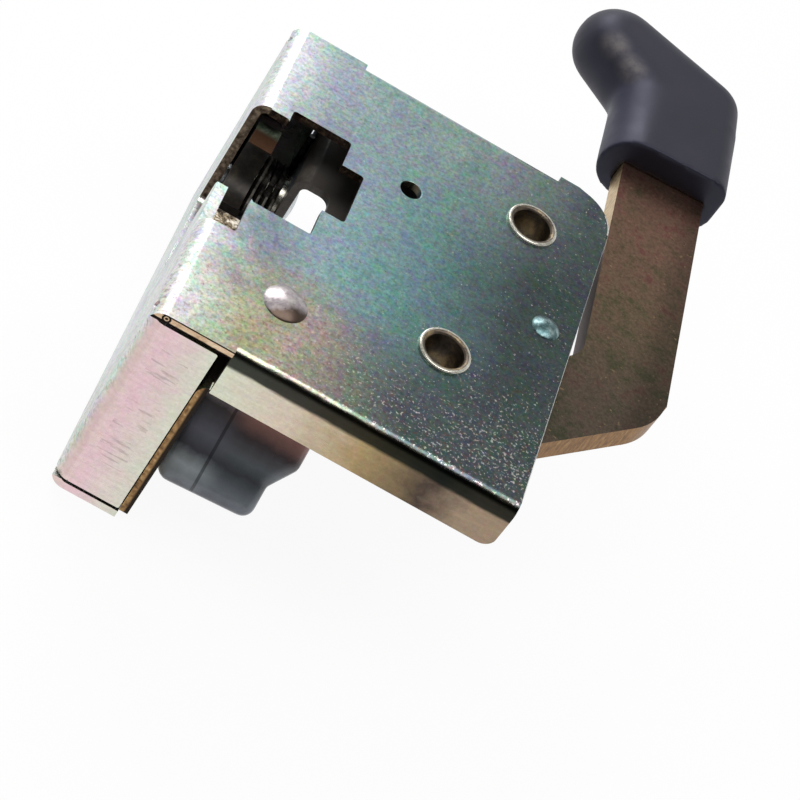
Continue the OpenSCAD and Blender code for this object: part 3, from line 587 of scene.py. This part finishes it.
def turnedSteel(name, stops, roughness, cloudSize=4, grainSize=0.6, fade=None, grainShare=1.0,
                metal=1.0):
    # Small plated steel part, turned, drawn or peened: even grey metal with fine darker specks in
    # its grain; fade takes it over to another colour along a direction; sizes in millimetres
    material, tree = newMaterial(name)
    place = addNode(tree, "TexCoord").outputs["Object"]
    cloud = addNode(tree, "TexNoise", None, {
        "Vector": place, "Scale": 1 / (cloudSize * mm), **turnedLook["cloud"]})
    tone = addNode(tree, "ValToRGB", {"stops": stops}, {0: cloud})
    grain = addNode(tree, "TexNoise", None, {
        "Vector": place, "Scale": 1 / (grainSize * mm), **turnedLook["grain"]})
    grainTone = addNode(tree, "MapRange", None, {
        "Value": grain, **noiseBand, **turnedLook["grainTones"]})
    grained = addNode(tree, "Mix", colourTimes, {0: grainShare, 6: tone, 7: grainTone})
    if fade:
        along = addNode(tree, "VectorMath", {"operation": "DOT_PRODUCT"}, {
            0: place, 1: fade["along"]})
        ragged = addNode(tree, "Math", timesPlus, {0: cloud, 1: fade["ragged"], 2: along})
        faded = addNode(tree, "MapRange", eased, {
            "Value": ragged, "From Min": fade["from"], "From Max": fade["to"]})
        grained = addNode(tree, "Mix", colourMix, {
            0: faded, 6: grained, 7: linear(fade["colour"])})
    rough = addNode(tree, "MapRange", None, {
        "Value": grain, **noiseBand,
        "To Min": roughness - turnedLook["shinier"], "To Max": roughness + turnedLook["duller"]})
    bump = addNode(tree, "Bump", None, {
        "Strength": turnedLook["bump"] * grainShare, "Distance": turnedLook["depth"],
        "Height": grain})
    shader = addNode(tree, "BsdfPrincipled", None, {
        "Base Color": grained, "Metallic": metal, "Roughness": rough, "Normal": bump})
    addNode(tree, "OutputMaterial", None, {"Surface": shader})
    return material


# dark past x -40.3 mm: painted shadow between the leg and the pad
legEdgeMaterial = shearedSteel("sheared plate edge", [
    (0.30, "#5d4630"), (0.45, "#8c6c48"), (0.58, "#a8875c"), (0.72, "#c9ad84")],
    shadowFromX=-40.3 * mm)
# a painted relief hole as a dark ring and dot, and painted shade along the edge's rims
flapEdgeMaterial = shearedSteel("straw sheared edge", [
    (0.30, "#a88c6e"), (0.45, "#d3b595"), (0.58, "#e0c6a8"), (0.72, "#ecdcc4")],
    relief=(-54.2 * mm, -30.6 * mm, -1 * mm))
mouthEdgeMaterial = shearedSteel("dark sheared edge", [
    (0.30, "#1c1612"), (0.48, "#382c24"), (0.62, "#5a493b"), (0.78, "#85715b")])
paleEdgeMaterial = shearedSteel("pale sheared edge", [
    (0.30, "#3a3029"), (0.48, "#6c5e50"), (0.62, "#94836f"), (0.78, "#b4a48c")])
brightTipMaterial = turnedSteel("blotchy bright pawl tip", [
    (0.40, "#2c2520"), (0.52, "#8f8068"), (0.62, "#efe6d8")], roughness=0.3, cloudSize=1.6)
highlightEdgeMaterial = turnedSteel("edge with painted highlight", [
    (0.3, "#c9ccca"), (0.5, "#eef0ec"), (0.7, "#ffffff")], roughness=0.35, cloudSize=1.5)
bushMaterial = turnedSteel("drawn plated tube", [
    (0.3, "#b4b0a2"), (0.5, "#d6d2c6"), (0.7, "#ece8dc")], roughness=0.24, grainShare=0.3)
shadedBoreMaterial = turnedSteel("bore in painted shade", [
    (0.3, "#3e3a37"), (0.5, "#6a6054"), (0.7, "#a8946f")], roughness=0.4, cloudSize=5)
rivetMaterial = turnedSteel("peened plated rivet", [
    (0.3, "#8f979c"), (0.5, "#b9c0c4"), (0.7, "#d6d8d8")], roughness=0.28)
# its fade to dark brown over the head's lower right is painted shade
rosyMaterial = turnedSteel("peened rivet, rosy, painted shade at lower right", [
    (0.3, "#8a8184"), (0.5, "#b9b0b2"), (0.7, "#d6d0cc")], roughness=0.32, cloudSize=2, fade={
        "along": (0.5, -0.85, 0), "ragged": 3 * mm, "from": -5.4 * mm, "to": -3.4 * mm,
        "colour": "#54473f"})
blueMaterial = turnedSteel("peened rivet, blue film", [
    (0.3, "#33484a"), (0.5, "#5d7779"), (0.7, "#9bb0b0")], roughness=0.3, cloudSize=2)
# the latch's plates deep in the mouth, near black brown: painted shade
shadedLatchMaterial = turnedSteel("latch steel in painted shade", [
    (0.3, "#211e1b"), (0.5, "#2f2b27"), (0.7, "#453f33")], roughness=0.42, cloudSize=3, metal=0.6)
jawMaterial = turnedSteel("passivated jaw tip", [
    (0.3, "#343a2f"), (0.5, "#434a3c"), (0.7, "#6c7468")], roughness=0.4, cloudSize=3, fade={
        "along": (0, -1, 0), "ragged": 1 * mm, "from": -40.2 * mm, "to": -38.8 * mm,
        "colour": "#2e1f16"})
wireMaterial = turnedSteel("drawn spring wire", [
    (0.3, "#2c2a28"), (0.5, "#55524d"), (0.7, "#84807a")],
    roughness=0.3, cloudSize=2, grainSize=0.3)
insideShadeMaterial = turnedSteel("plate in painted shade", [
    (0.3, "#4a4541"), (0.5, "#625c56"), (0.7, "#7a736c")], roughness=0.45, cloudSize=6, metal=0.25)


def leverSteel(look):
    # Flat steel bar, blanked and yellow passivated until brown: a dull metal, reddish near the
    # grip and darker towards the elbow, mottled purple and olive, with a fine grain
    material, tree = newMaterial("yellow passivated bar")
    place = addNode(tree, "TexCoord").outputs["Object"]
    split = addNode(tree, "SeparateXYZ", None, {0: place})
    alongBar = addNode(tree, "MapRange", None, {
        "Value": split.outputs["Y"], **look["alongBar"]})
    tone = addNode(tree, "ValToRGB", {"stops": look["stops"]}, {0: alongBar})
    cloud = addNode(tree, "TexNoise", None, {"Vector": place, **look["cloud"]})
    film = addNode(tree, "ValToRGB", {"stops": look["films"]}, {0: cloud})
    filmed = addNode(tree, "Mix", colourTimes, {0: look["filmShare"], 6: tone, 7: film})
    grain = addNode(tree, "TexNoise", None, {"Vector": place, **look["grain"]})
    grainTone = addNode(tree, "MapRange", None, {
        "Value": grain, **noiseBand, **look["grainTones"]})
    grained = addNode(tree, "Mix", colourTimes, {0: 1.0, 6: filmed, 7: grainTone})
    # darker along the side away from the lock
    farSide = addNode(tree, "MapRange", eased, {"Value": split.outputs["X"], **look["farSide"]})
    shaded = addNode(tree, "Mix", colourTimes, {0: 1.0, 6: grained, 7: farSide})
    fleck = addNode(tree, "TexNoise", None, {"Vector": place, **look["fleck"]})
    bright = addNode(tree, "MapRange", None, {"Value": fleck, **look["fleckShare"]})
    flecked = addNode(tree, "Mix", colourMix, {
        0: bright, 6: shaded, 7: linear(look["fleckColour"])})
    bump = addNode(tree, "Bump", None, {**look["bump"], "Height": grain})
    shader = addNode(tree, "BsdfPrincipled", None, {
        "Base Color": flecked, "Metallic": 1.0, "Roughness": look["rough"], "Normal": bump})
    addNode(tree, "OutputMaterial", None, {"Surface": shader})
    return material


leverMaterial = leverSteel({
    "alongBar": {"From Min": -20 * mm, "From Max": 95 * mm},    # from the elbow's foot to the grip
    "stops": [(0.0, "#58514c"), (0.3, "#5e554e"), (0.55, "#6f6255"), (0.8, "#7c655c"),
              (1.0, "#7e665f")],
    "cloud": {"Scale": 1 / (5 * mm), "Detail": 5.0, "Roughness": 0.75},
    "films": [(0.32, "#eea6b0"), (0.46, "#fff0dc"), (0.54, "#f0e8d0"), (0.66, "#a8c892")],
    "filmShare": 0.75,
    "grain": {"Scale": 1 / (0.8 * mm), "Detail": 4.0, "Roughness": 0.75},
    "grainTones": {"To Min": 0.68, "To Max": 1.3},
    "farSide": {"From Min": 39 * mm, "From Max": 47 * mm, "To Min": 1.0, "To Max": 0.6},
    "fleck": {"Scale": 1 / (1.1 * mm), "Detail": 1.0, "Roughness": 0.5},
    "fleckShare": {"From Min": 0.70, "From Max": 0.80, "To Max": 0.5},
    "fleckColour": "#a58a66",
    "rough": 0.42,
    "bump": {"Strength": 0.3, "Distance": 0.05 * mm},
})


def leverEdge(look):
    # Sheared edge of the lever's bar: orange-brown passivation on the lower run, paler straw where
    # it faces the mouth's side, painted light, going dark brown lower down, painted shadow of the
    # housing;
    # over fine drag lines across the thickness
    material, tree = newMaterial("sheared bar edge")
    coords = addNode(tree, "TexCoord")
    facing = addNode(tree, "SeparateXYZ", None, {0: coords.outputs["Normal"]})
    thin = addNode(tree, "Mapping", None, {
        "Vector": coords.outputs["Object"], "Scale": look["drawnOut"]})
    drag = addNode(tree, "TexNoise", None, {"Vector": thin, **look["drag"]})
    lowTone = addNode(tree, "ValToRGB", {"stops": look["low"]}, {0: drag})
    leftTone = addNode(tree, "ValToRGB", {"stops": look["left"]}, {0: drag})
    # painted light and shade: the paler tone on the side the light falls on, dark brown lower down
    # where the housing shades it
    leftShare = addNode(tree, "MapRange", None, {
        "Value": facing.outputs["X"], **look["leftFacing"]})
    split = addNode(tree, "SeparateXYZ", None, {0: coords.outputs["Object"]})
    nearGrip = addNode(tree, "MapRange", eased, {
        "Value": split.outputs["Y"], **look["nearGrip"]})
    leftTone = addNode(tree, "Mix", colourMix, {
        0: nearGrip, 6: linear(look["housingShadow"]), 7: leftTone})
    tone = addNode(tree, "Mix", colourMix, {0: leftShare, 6: lowTone, 7: leftTone})
    bump = addNode(tree, "Bump", None, {**look["bump"], "Height": drag})
    shader = addNode(tree, "BsdfPrincipled", None, {
        "Base Color": tone, "Metallic": 1.0, "Roughness": look["rough"], "Normal": bump})
    addNode(tree, "OutputMaterial", None, {"Surface": shader})
    return material


leverEdgeMaterial = leverEdge({
    "drawnOut": (1.0, 1.0, 0.3),
    "drag": {"Scale": 1 / (0.7 * mm), "Detail": 4.0, "Roughness": 0.7},
    "low": [(0.30, "#64472a"), (0.48, "#876238"), (0.62, "#9a7648"), (0.78, "#b99a6c")],
    "left": [(0.30, "#9c8464"), (0.48, "#c2a982"), (0.62, "#d2bc98"), (0.78, "#e8d8b8")],
    "housingShadow": "#4c2c24",       # the left edge below nearGrip: painted shadow of the housing
    "leftFacing": {"From Min": -0.3, "From Max": -0.7},
    "nearGrip": {"From Min": 58 * mm, "From Max": 66 * mm},
    "rough": 0.42,
    "bump": {"Strength": 0.4, "Distance": 0.05 * mm},
})


nylonIor = 1.53


def gripNylon(look):
    # Injection-moulded black nylon of the grip: satin and near black, with a fine even grain,
    # painted highlights on the nose, a painted bluish sheen down the sleeve's left, painted shade
    # underneath
    material, tree = newMaterial("moulded black nylon")
    coords = addNode(tree, "TexCoord")
    place = coords.outputs["Object"]
    cloud = addNode(tree, "TexNoise", None, {"Vector": place, **look["cloud"]})
    tone = addNode(tree, "ValToRGB", {"stops": look["stops"]}, {0: cloud})
    # a painted sheen, bluish, down the left of the sleeve
    split = addNode(tree, "SeparateXYZ", None, {0: place})
    leftSide = addNode(tree, "MapRange", eased, {
        "Value": split.outputs["X"], **look["leftSide"]})
    sleeve = addNode(tree, "MapRange", eased, {"Value": split.outputs["Y"], **look["sleeve"]})
    paintedSheen = addNode(tree, "Math", times, {0: leftSide, 1: sleeve})
    sheened = addNode(tree, "Mix", colourMix, {0: paintedSheen, 6: tone, 7: linear(look["paintedSheen"])})
    # painted highlights: two warm grey spots on the nose's ridge
    highlightBreakup = addNode(tree, "TexNoise", None, {"Vector": place, **look["highlightBreakup"]})
    rubbedAndHighlit = addNode(tree, "MapRange", None, {"Value": highlightBreakup, **look["rubsAndHighlights"]})
    highlightTone = sheened
    for spot in look["spots"]:
        away = addNode(tree, "VectorMath", {"operation": "DISTANCE"}, {0: place, 1: spot})
        paintedHighlight = addNode(tree, "MapRange", eased, {"Value": away, **look["spotRadius"]})
        highlightShare = addNode(tree, "Math", times, {0: paintedHighlight, 1: rubbedAndHighlit})
        highlightTone = addNode(tree, "Mix", colourMix, {
            0: highlightShare, 6: highlightTone, 7: linear(look["paintedHighlight"])})
    # painted shade: the faces that look down go near black
    facing = addNode(tree, "SeparateXYZ", None, {0: coords.outputs["Normal"]})
    under = addNode(tree, "MapRange", eased, {
        "Value": facing.outputs["Y"], **look["underside"]})
    shaded = addNode(tree, "Mix", colourMix, {0: under, 6: highlightTone, 7: linear(look["under"])})
    rough = addNode(tree, "MapRange", None, {"Value": cloud, **noiseBand, **look["rough"]})
    grain = addNode(tree, "TexNoise", None, {"Vector": place, **look["grain"]})
    bump = addNode(tree, "Bump", None, {**look["bump"], "Height": grain})
    shader = addNode(tree, "BsdfPrincipled", None, {
        "Base Color": shaded, "Roughness": rough, "IOR": nylonIor,
        "Specular Tint": linear(look["sheen"]), "Normal": bump})
    addNode(tree, "OutputMaterial", None, {"Surface": shader})
    return material


gripMaterial = gripNylon({
    "cloud": {"Scale": 1 / (9 * mm), "Detail": 4.0, "Roughness": 0.6},
    "stops": [(0.30, "#131319"), (0.55, "#17171e"), (0.75, "#1f1d23")],
    "paintedSheen": "#171b2c",
    "leftSide": {"From Min": 27 * mm, "From Max": 16 * mm},
    "sleeve": {"From Min": 120 * mm, "From Max": 108 * mm},
    "spots": [(0.0116, 0.1214, 0.0035), (0.0172, 0.1167, 0.0035)],
    "spotRadius": {"From Min": 5.5 * mm, "From Max": 1 * mm},
    "paintedHighlight": "#625d58",
    "highlightBreakup": {"Scale": 1 / (3 * mm), "Detail": 3.0, "Roughness": 0.65},
    "rubsAndHighlights": {"From Min": 0.15, "From Max": 0.62},
    "underside": {"From Min": -0.3, "From Max": -0.8, "To Max": 0.8},
    "under": "#060607",
    "sheen": "#dcdcff",
    "rough": {"To Min": 0.42, "To Max": 0.56},
    "grain": {"Scale": 1 / (0.45 * mm), "Detail": 2.0, "Roughness": 0.6},
    "bump": {"Strength": 0.3, "Distance": 0.05 * mm},
})


def padNylon(look):
    # The release pad's nylon, shinier than the grip's: painted highlights in blue-grey bands along
    # the pad, a painted rust-coloured reflection of the plated wall just under it, and the mould's
    # parting line across it
    material, tree = newMaterial("black nylon with painted highlights")
    place = addNode(tree, "TexCoord").outputs["Object"]
    split = addNode(tree, "SeparateXYZ", None, {0: place})
    down = addNode(tree, "VectorMath", {"operation": "DOT_PRODUCT"}, {0: place, 1: look["down"]})
    cloud = addNode(tree, "TexNoise", None, {"Vector": place, **look["cloud"]})
    wander = addNode(tree, "Math", timesPlus, {0: cloud, 1: look["wander"], 2: down})
    alongPad = addNode(tree, "MapRange", None, {"Value": wander, **look["run"]})
    leftTone = addNode(tree, "ValToRGB", {"stops": look["left"]}, {0: alongPad})
    rightTone = addNode(tree, "ValToRGB", {"stops": look["right"]}, {0: alongPad})
    rightShare = addNode(tree, "MapRange", eased, {
        "Value": split.outputs["X"], **look["leftToRight"]})
    tone = addNode(tree, "Mix", colourMix, {0: rightShare, 6: leftTone, 7: rightTone})
    line = addNode(tree, "Math", nearTo, {
        0: split.outputs["X"], 1: look["partingX"], 2: look["partingHalf"]})
    lineShare = addNode(tree, "Math", times, {0: line, 1: look["partingShare"]})
    lined = addNode(tree, "Mix", colourMix, {
        0: lineShare, 6: tone, 7: linear(look["partingColour"])})
    grain = addNode(tree, "TexNoise", None, {"Vector": place, **look["grain"]})
    height = addNode(tree, "Math", {"operation": "SUBTRACT"}, {0: grain, 1: line})
    bump = addNode(tree, "Bump", None, {**look["bump"], "Height": height})
    shader = addNode(tree, "BsdfPrincipled", None, {
        "Base Color": lined, "Roughness": look["rough"], "IOR": nylonIor, "Normal": bump})
    addNode(tree, "OutputMaterial", None, {"Surface": shader})
    return material


padMaterial = padNylon({
    "down": (0, -0.683, -0.7304),       # the way down the pad
    "cloud": {"Scale": 1 / (3 * mm), "Detail": 4.0, "Roughness": 0.65},
    "wander": 2.4 * mm,
    "run": {"From Min": 30.1 * mm, "From Max": 53.1 * mm},
    # painted highlight bands, and near the top a painted rust-coloured reflection of the wall
    "left": [(0.0, "#443c40"), (0.06, "#9c929a"), (0.17, "#4c474a"), (0.44, "#7c7e8c"),
             (0.62, "#575861"), (0.78, "#c0cacf"), (1.0, "#4e4f5a")],
    "right": [(0.0, "#5c5053"), (0.11, "#ac7f76"), (0.29, "#504649"), (0.49, "#747a80"),
              (0.63, "#4c5055"), (0.84, "#848c94"), (0.97, "#545661")],
    "leftToRight": {"From Min": -33 * mm, "From Max": -25 * mm},
    "partingX": -30.4 * mm,
    "partingHalf": 0.35 * mm,
    "partingShare": 0.6,
    "partingColour": "#17171a",
    "rough": 0.28,
    "grain": {"Scale": 1 / (0.6 * mm), "Detail": 3.0, "Roughness": 0.6},
    "bump": {"Strength": 0.35, "Distance": 0.1 * mm},
})


slotMaterials = {
    "plated_sheet": sheetMaterial,
    "bright_steel": bushMaterial,
    "rivet_steel": rivetMaterial,
    "lever_steel": leverMaterial,
    "claw_steel": shadedLatchMaterial,
    "spring_steel": wireMaterial,
    "black_plastic": gripMaterial,
}
for part in frame["record"]["subparts"]:
    solid = nodes[part["node"]]
    solid.data.materials.clear()
    solid.data.materials.append(slotMaterials[part["material_slot"]])
print("materials made")


def paint(piece, material, wanted):
    # gives another material to the faces that wanted(centre, normal) picks, the centre in
    # millimetres
    piece.data.materials.append(material)
    for face in piece.data.polygons:
        if wanted(face.center / mm, face.normal):
            face.material_index = len(piece.data.materials) - 1


# the housing: its edge radii, and in millimetres where it is painted or rounded over
housingLook = {
    "edges": 0.3 * mm,
    "rightEdge": 0.55 * mm,     # rounded by the press, so that it shows as a bright line
    "openings": 0.25 * mm,      # mouth and sighting hole
    "mouth": {"x": (-57.6, -29), "y": (10.5, 45)},
    "faceCut": {"z": (-2.02, beyond)},      # through the main face
    "flangeCut": {"x": (-beyond, -55.4)},   # through the front flange
    "underFace": {"z": (-beyond, -3)},
    "notUp": {"z": (-beyond, 0.6)},
    "flapEdge": {"x": (-beyond, -39), "y": (-beyond, -28), "z": (-2.02, beyond)},
    "flapFacing": {"y": (-beyond, -0.7)},
    # where the painted highlight goes on the right edge, and the way its faces look
    "paintedHighlight": {"x": (20, beyond), "z": (-0.5, beyond)},
    "paintedHighlightFacing": {"x": (0.3, beyond), "z": (0.2, 0.95)},
    "right": {"x": (25.7, beyond), "y": (-27.65, beyond), "z": (-0.05, beyond)},
    "upperRight": {"x": (16.5, beyond), "y": (60.5, beyond), "z": (-0.05, beyond)},
    "mouthRim": {"x": (-53, -29), "y": (10, 46), "z": (-0.05, beyond)},
    "holeRim": {"x": (-25, 0), "y": (30, 60), "z": (-0.05, beyond)},
}


def mouthEdge(centre, normal):
    # cut edges round the mouth, in the main face and in the front flange
    look = housingLook
    inFace = inZone(centre, look["faceCut"]) and abs(normal.z) < solids["onEdge"]
    inFlange = (inZone(centre, look["flangeCut"]) and abs(normal.x) < solids["onEdge"]
                and inZone(centre, look["underFace"]) and inZone(normal, look["notUp"]))
    return inZone(centre, look["mouth"]) and (inFace or inFlange)


def flangeEdge(centre, normal):
    # the paler part of these edges, in the front flange
    return mouthEdge(centre, normal) and inZone(centre, housingLook["flangeCut"])


housing = copyOfSolid("housing", "housing_sheet", sheetMaterial)
paint(housing, mouthEdgeMaterial, mouthEdge)
paint(housing, paleEdgeMaterial, flangeEdge)
paint(housing, flapEdgeMaterial, lambda c, n: (
    inZone(c, housingLook["flapEdge"]) and inZone(n, housingLook["flapFacing"])))
for width, clamped, zones in (
        ("rightEdge", False, ("right", "upperRight")),
        ("openings", True, ("mouthRim",)),
        ("openings", True, ("holeRim",))):
    bevelWhere(housing, housingLook[width], clamped, *(housingLook[zone] for zone in zones))
breakEdges(housing, housingLook["edges"], edgeSlot=0)
# painted highlight: near-white faces along the rounded right edge
paint(housing, highlightEdgeMaterial, lambda c, n: (
    inZone(c, housingLook["paintedHighlight"]) and inZone(n, housingLook["paintedHighlightFacing"])))
finishPiece(housing, "root", "plated_sheet", "housing")

# the back plate: bare edges at both ends of its leg, and painted shade round the head slot
plateLook = {
    "edges": 0.2 * mm,
    "betweenEnds": {"y": (-30, 70)},
    "endFacing": 0.7,
    "shadedInside": {"x": (-42, -28), "y": (5, 50), "z": (-45, beyond)},
    "shadedInsideFacing": {"x": (-beyond, 0.5)},
}
backPlate = copyOfSolid("back_plate", "back_plate_sheet", sheetMaterial)
paint(backPlate, legEdgeMaterial, lambda c, n: (
    abs(n.y) > plateLook["endFacing"] and not inZone(c, plateLook["betweenEnds"])))
paint(backPlate, insideShadeMaterial, lambda c, n: (
    inZone(c, plateLook["shadedInside"]) and inZone(n, plateLook["shadedInsideFacing"])))
breakEdges(backPlate, plateLook["edges"])
finishPiece(backPlate, "root", "plated_sheet", "back_plate")

# the lever's bar, whose sheared edges have a material of their own
barLook = {"edges": 0.3 * mm}
lever = copyOfSolid("lever", "lever_bar", leverMaterial)
paint(lever, leverEdgeMaterial, lambda c, n: abs(n.z) < solids["onEdge"])
breakEdges(lever, barLook["edges"], edgeSlot=1)
finishPiece(lever, "lever_body", "lever_steel", "lever")

# the bushes: axis of each in millimetres, the flare at the mouth, and the bore, darkened as painted
# shade
bushLook = {
    "axes": {"lower_bush": (0, 0), "upper_bush": (8.4, 50.1)},
    "flare": 0.5 * mm,
    "flareSteps": 4,
    "flareRadius": 5.1,         # the rim nearer to the axis than this and above flareFrom is flared
    "flareFrom": 0.6 * mm,
    "boreRadius": 5.05,
    "rimFacing": 0.9,
    "edges": 0.12 * mm,
}
for solid, axis in bushLook["axes"].items():
    bush = copyOfSolid(solid, solid + "_tube", bushMaterial)
    flare = bush.vertex_groups.new(name="mouth")
    for vertex in bush.data.vertices:
        out = math.hypot(vertex.co.x / mm - axis[0], vertex.co.y / mm - axis[1])
        if out < bushLook["flareRadius"] and vertex.co.z > bushLook["flareFrom"]:
            flare.add([vertex.index], 1.0, "REPLACE")
    paint(bush, shadedBoreMaterial, lambda c, n: (
        math.hypot(c.x - axis[0], c.y - axis[1]) < bushLook["boreRadius"]
        and abs(n.z) < bushLook["rimFacing"]))
    pick(bush)
    flaring = bush.modifiers.new("flared mouth", "BEVEL")
    flaring.width = bushLook["flare"]
    flaring.segments = bushLook["flareSteps"]
    flaring.limit_method = "VGROUP"
    flaring.vertex_group = flare.name
    # the flared rim takes the bore's dark material: painted shade inside the mouth
    flaring.material = 1
    bpy.ops.object.modifier_apply(modifier=flaring.name)
    bush.vertex_groups.clear()
    breakEdges(bush, bushLook["edges"])
    finishPiece(bush, "root", "bright_steel", solid)

# the two peened heads
rivetLook = {
    "edges": 0.15 * mm,
    "films": {"lever_rivet": rosyMaterial, "stop_rivet": blueMaterial},
}
for solid, material in rivetLook["films"].items():
    rivet = copyOfSolid(solid, solid + "_head", material)
    breakEdges(rivet, rivetLook["edges"])
    finishPiece(rivet, "root", "rivet_steel", solid)

# the claw, with the plated tip of its jaw
clawLook = {"edges": 0.3 * mm, "jaw": {"y": (36, 42.5), "z": (-9, beyond)}}
claw = copyOfSolid("claw", "claw_plate", shadedLatchMaterial)
paint(claw, jawMaterial, lambda c, n: inZone(c, clawLook["jaw"]) and abs(n.x) < solids["onEdge"])
breakEdges(claw, clawLook["edges"])
finishPiece(claw, "claw_body", "claw_steel", "claw")

# the pawl, in the latch's painted shade, and bright and blotchy at the tip that shows in the mouth
pawlLook = {"edges": 0.3 * mm, "tip": {"z": (-3.5, beyond)}}
pawl = copyOfSolid("pawl", "pawl_plate", shadedLatchMaterial)
paint(pawl, brightTipMaterial, lambda c, n: inZone(c, pawlLook["tip"]))
breakEdges(pawl, pawlLook["edges"])
finishPiece(pawl, "pawl_body", "claw_steel", "pawl")


def soften(piece, name, passes, group=""):
    # smooths a piece, only where the group says so if there is one
    smooth = piece.modifiers.new(name, "SMOOTH")
    smooth.iterations = passes
    smooth.vertex_group = group
    bpy.ops.object.modifier_apply(modifier=smooth.name)


def moulded(node, name, material, look):
    # a moulded part: the solid is filled with small voxels and its creases are smoothed away
    piece = copyOfSolid(node, name, material)
    pick(piece)
    remesh = piece.modifiers.new("skin", "REMESH")
    remesh.mode = "VOXEL"
    remesh.voxel_size = look["voxel"]
    bpy.ops.object.modifier_apply(modifier=remesh.name)
    soften(piece, "soft creases", look["passes"])
    bpy.ops.object.shade_smooth()
    return piece


# the grip: its nose flows into the sleeve, so the nose's root is smoothed far more than the rest
gripShape = {
    "voxel": 0.5 * mm,
    "passes": 8,
    "root": Vector((22.5 * mm, 114.5 * mm)),
    "rootReach": 19 * mm,
    "rootPasses": 150,
}
grip = moulded("grip", "grip_moulding", gripMaterial, gripShape)
flowing = grip.vertex_groups.new(name="nose root")
for vertex in grip.data.vertices:
    away = math.dist(vertex.co.xy, gripShape["root"])
    if away < gripShape["rootReach"]:
        flowing.add([vertex.index], 1 - (away / gripShape["rootReach"]) ** 2, "REPLACE")
soften(grip, "nose flows into sleeve", gripShape["rootPasses"], flowing.name)
finishPiece(grip, "lever_body", "black_plastic", "grip")

# the release pad
padShape = {"voxel": 0.4 * mm, "passes": 4}
pad = moulded("release_pad", "release_pad_moulding", padMaterial, padShape)
finishPiece(pad, "pawl_body", "black_plastic", "release_pad")
print("pieces made")
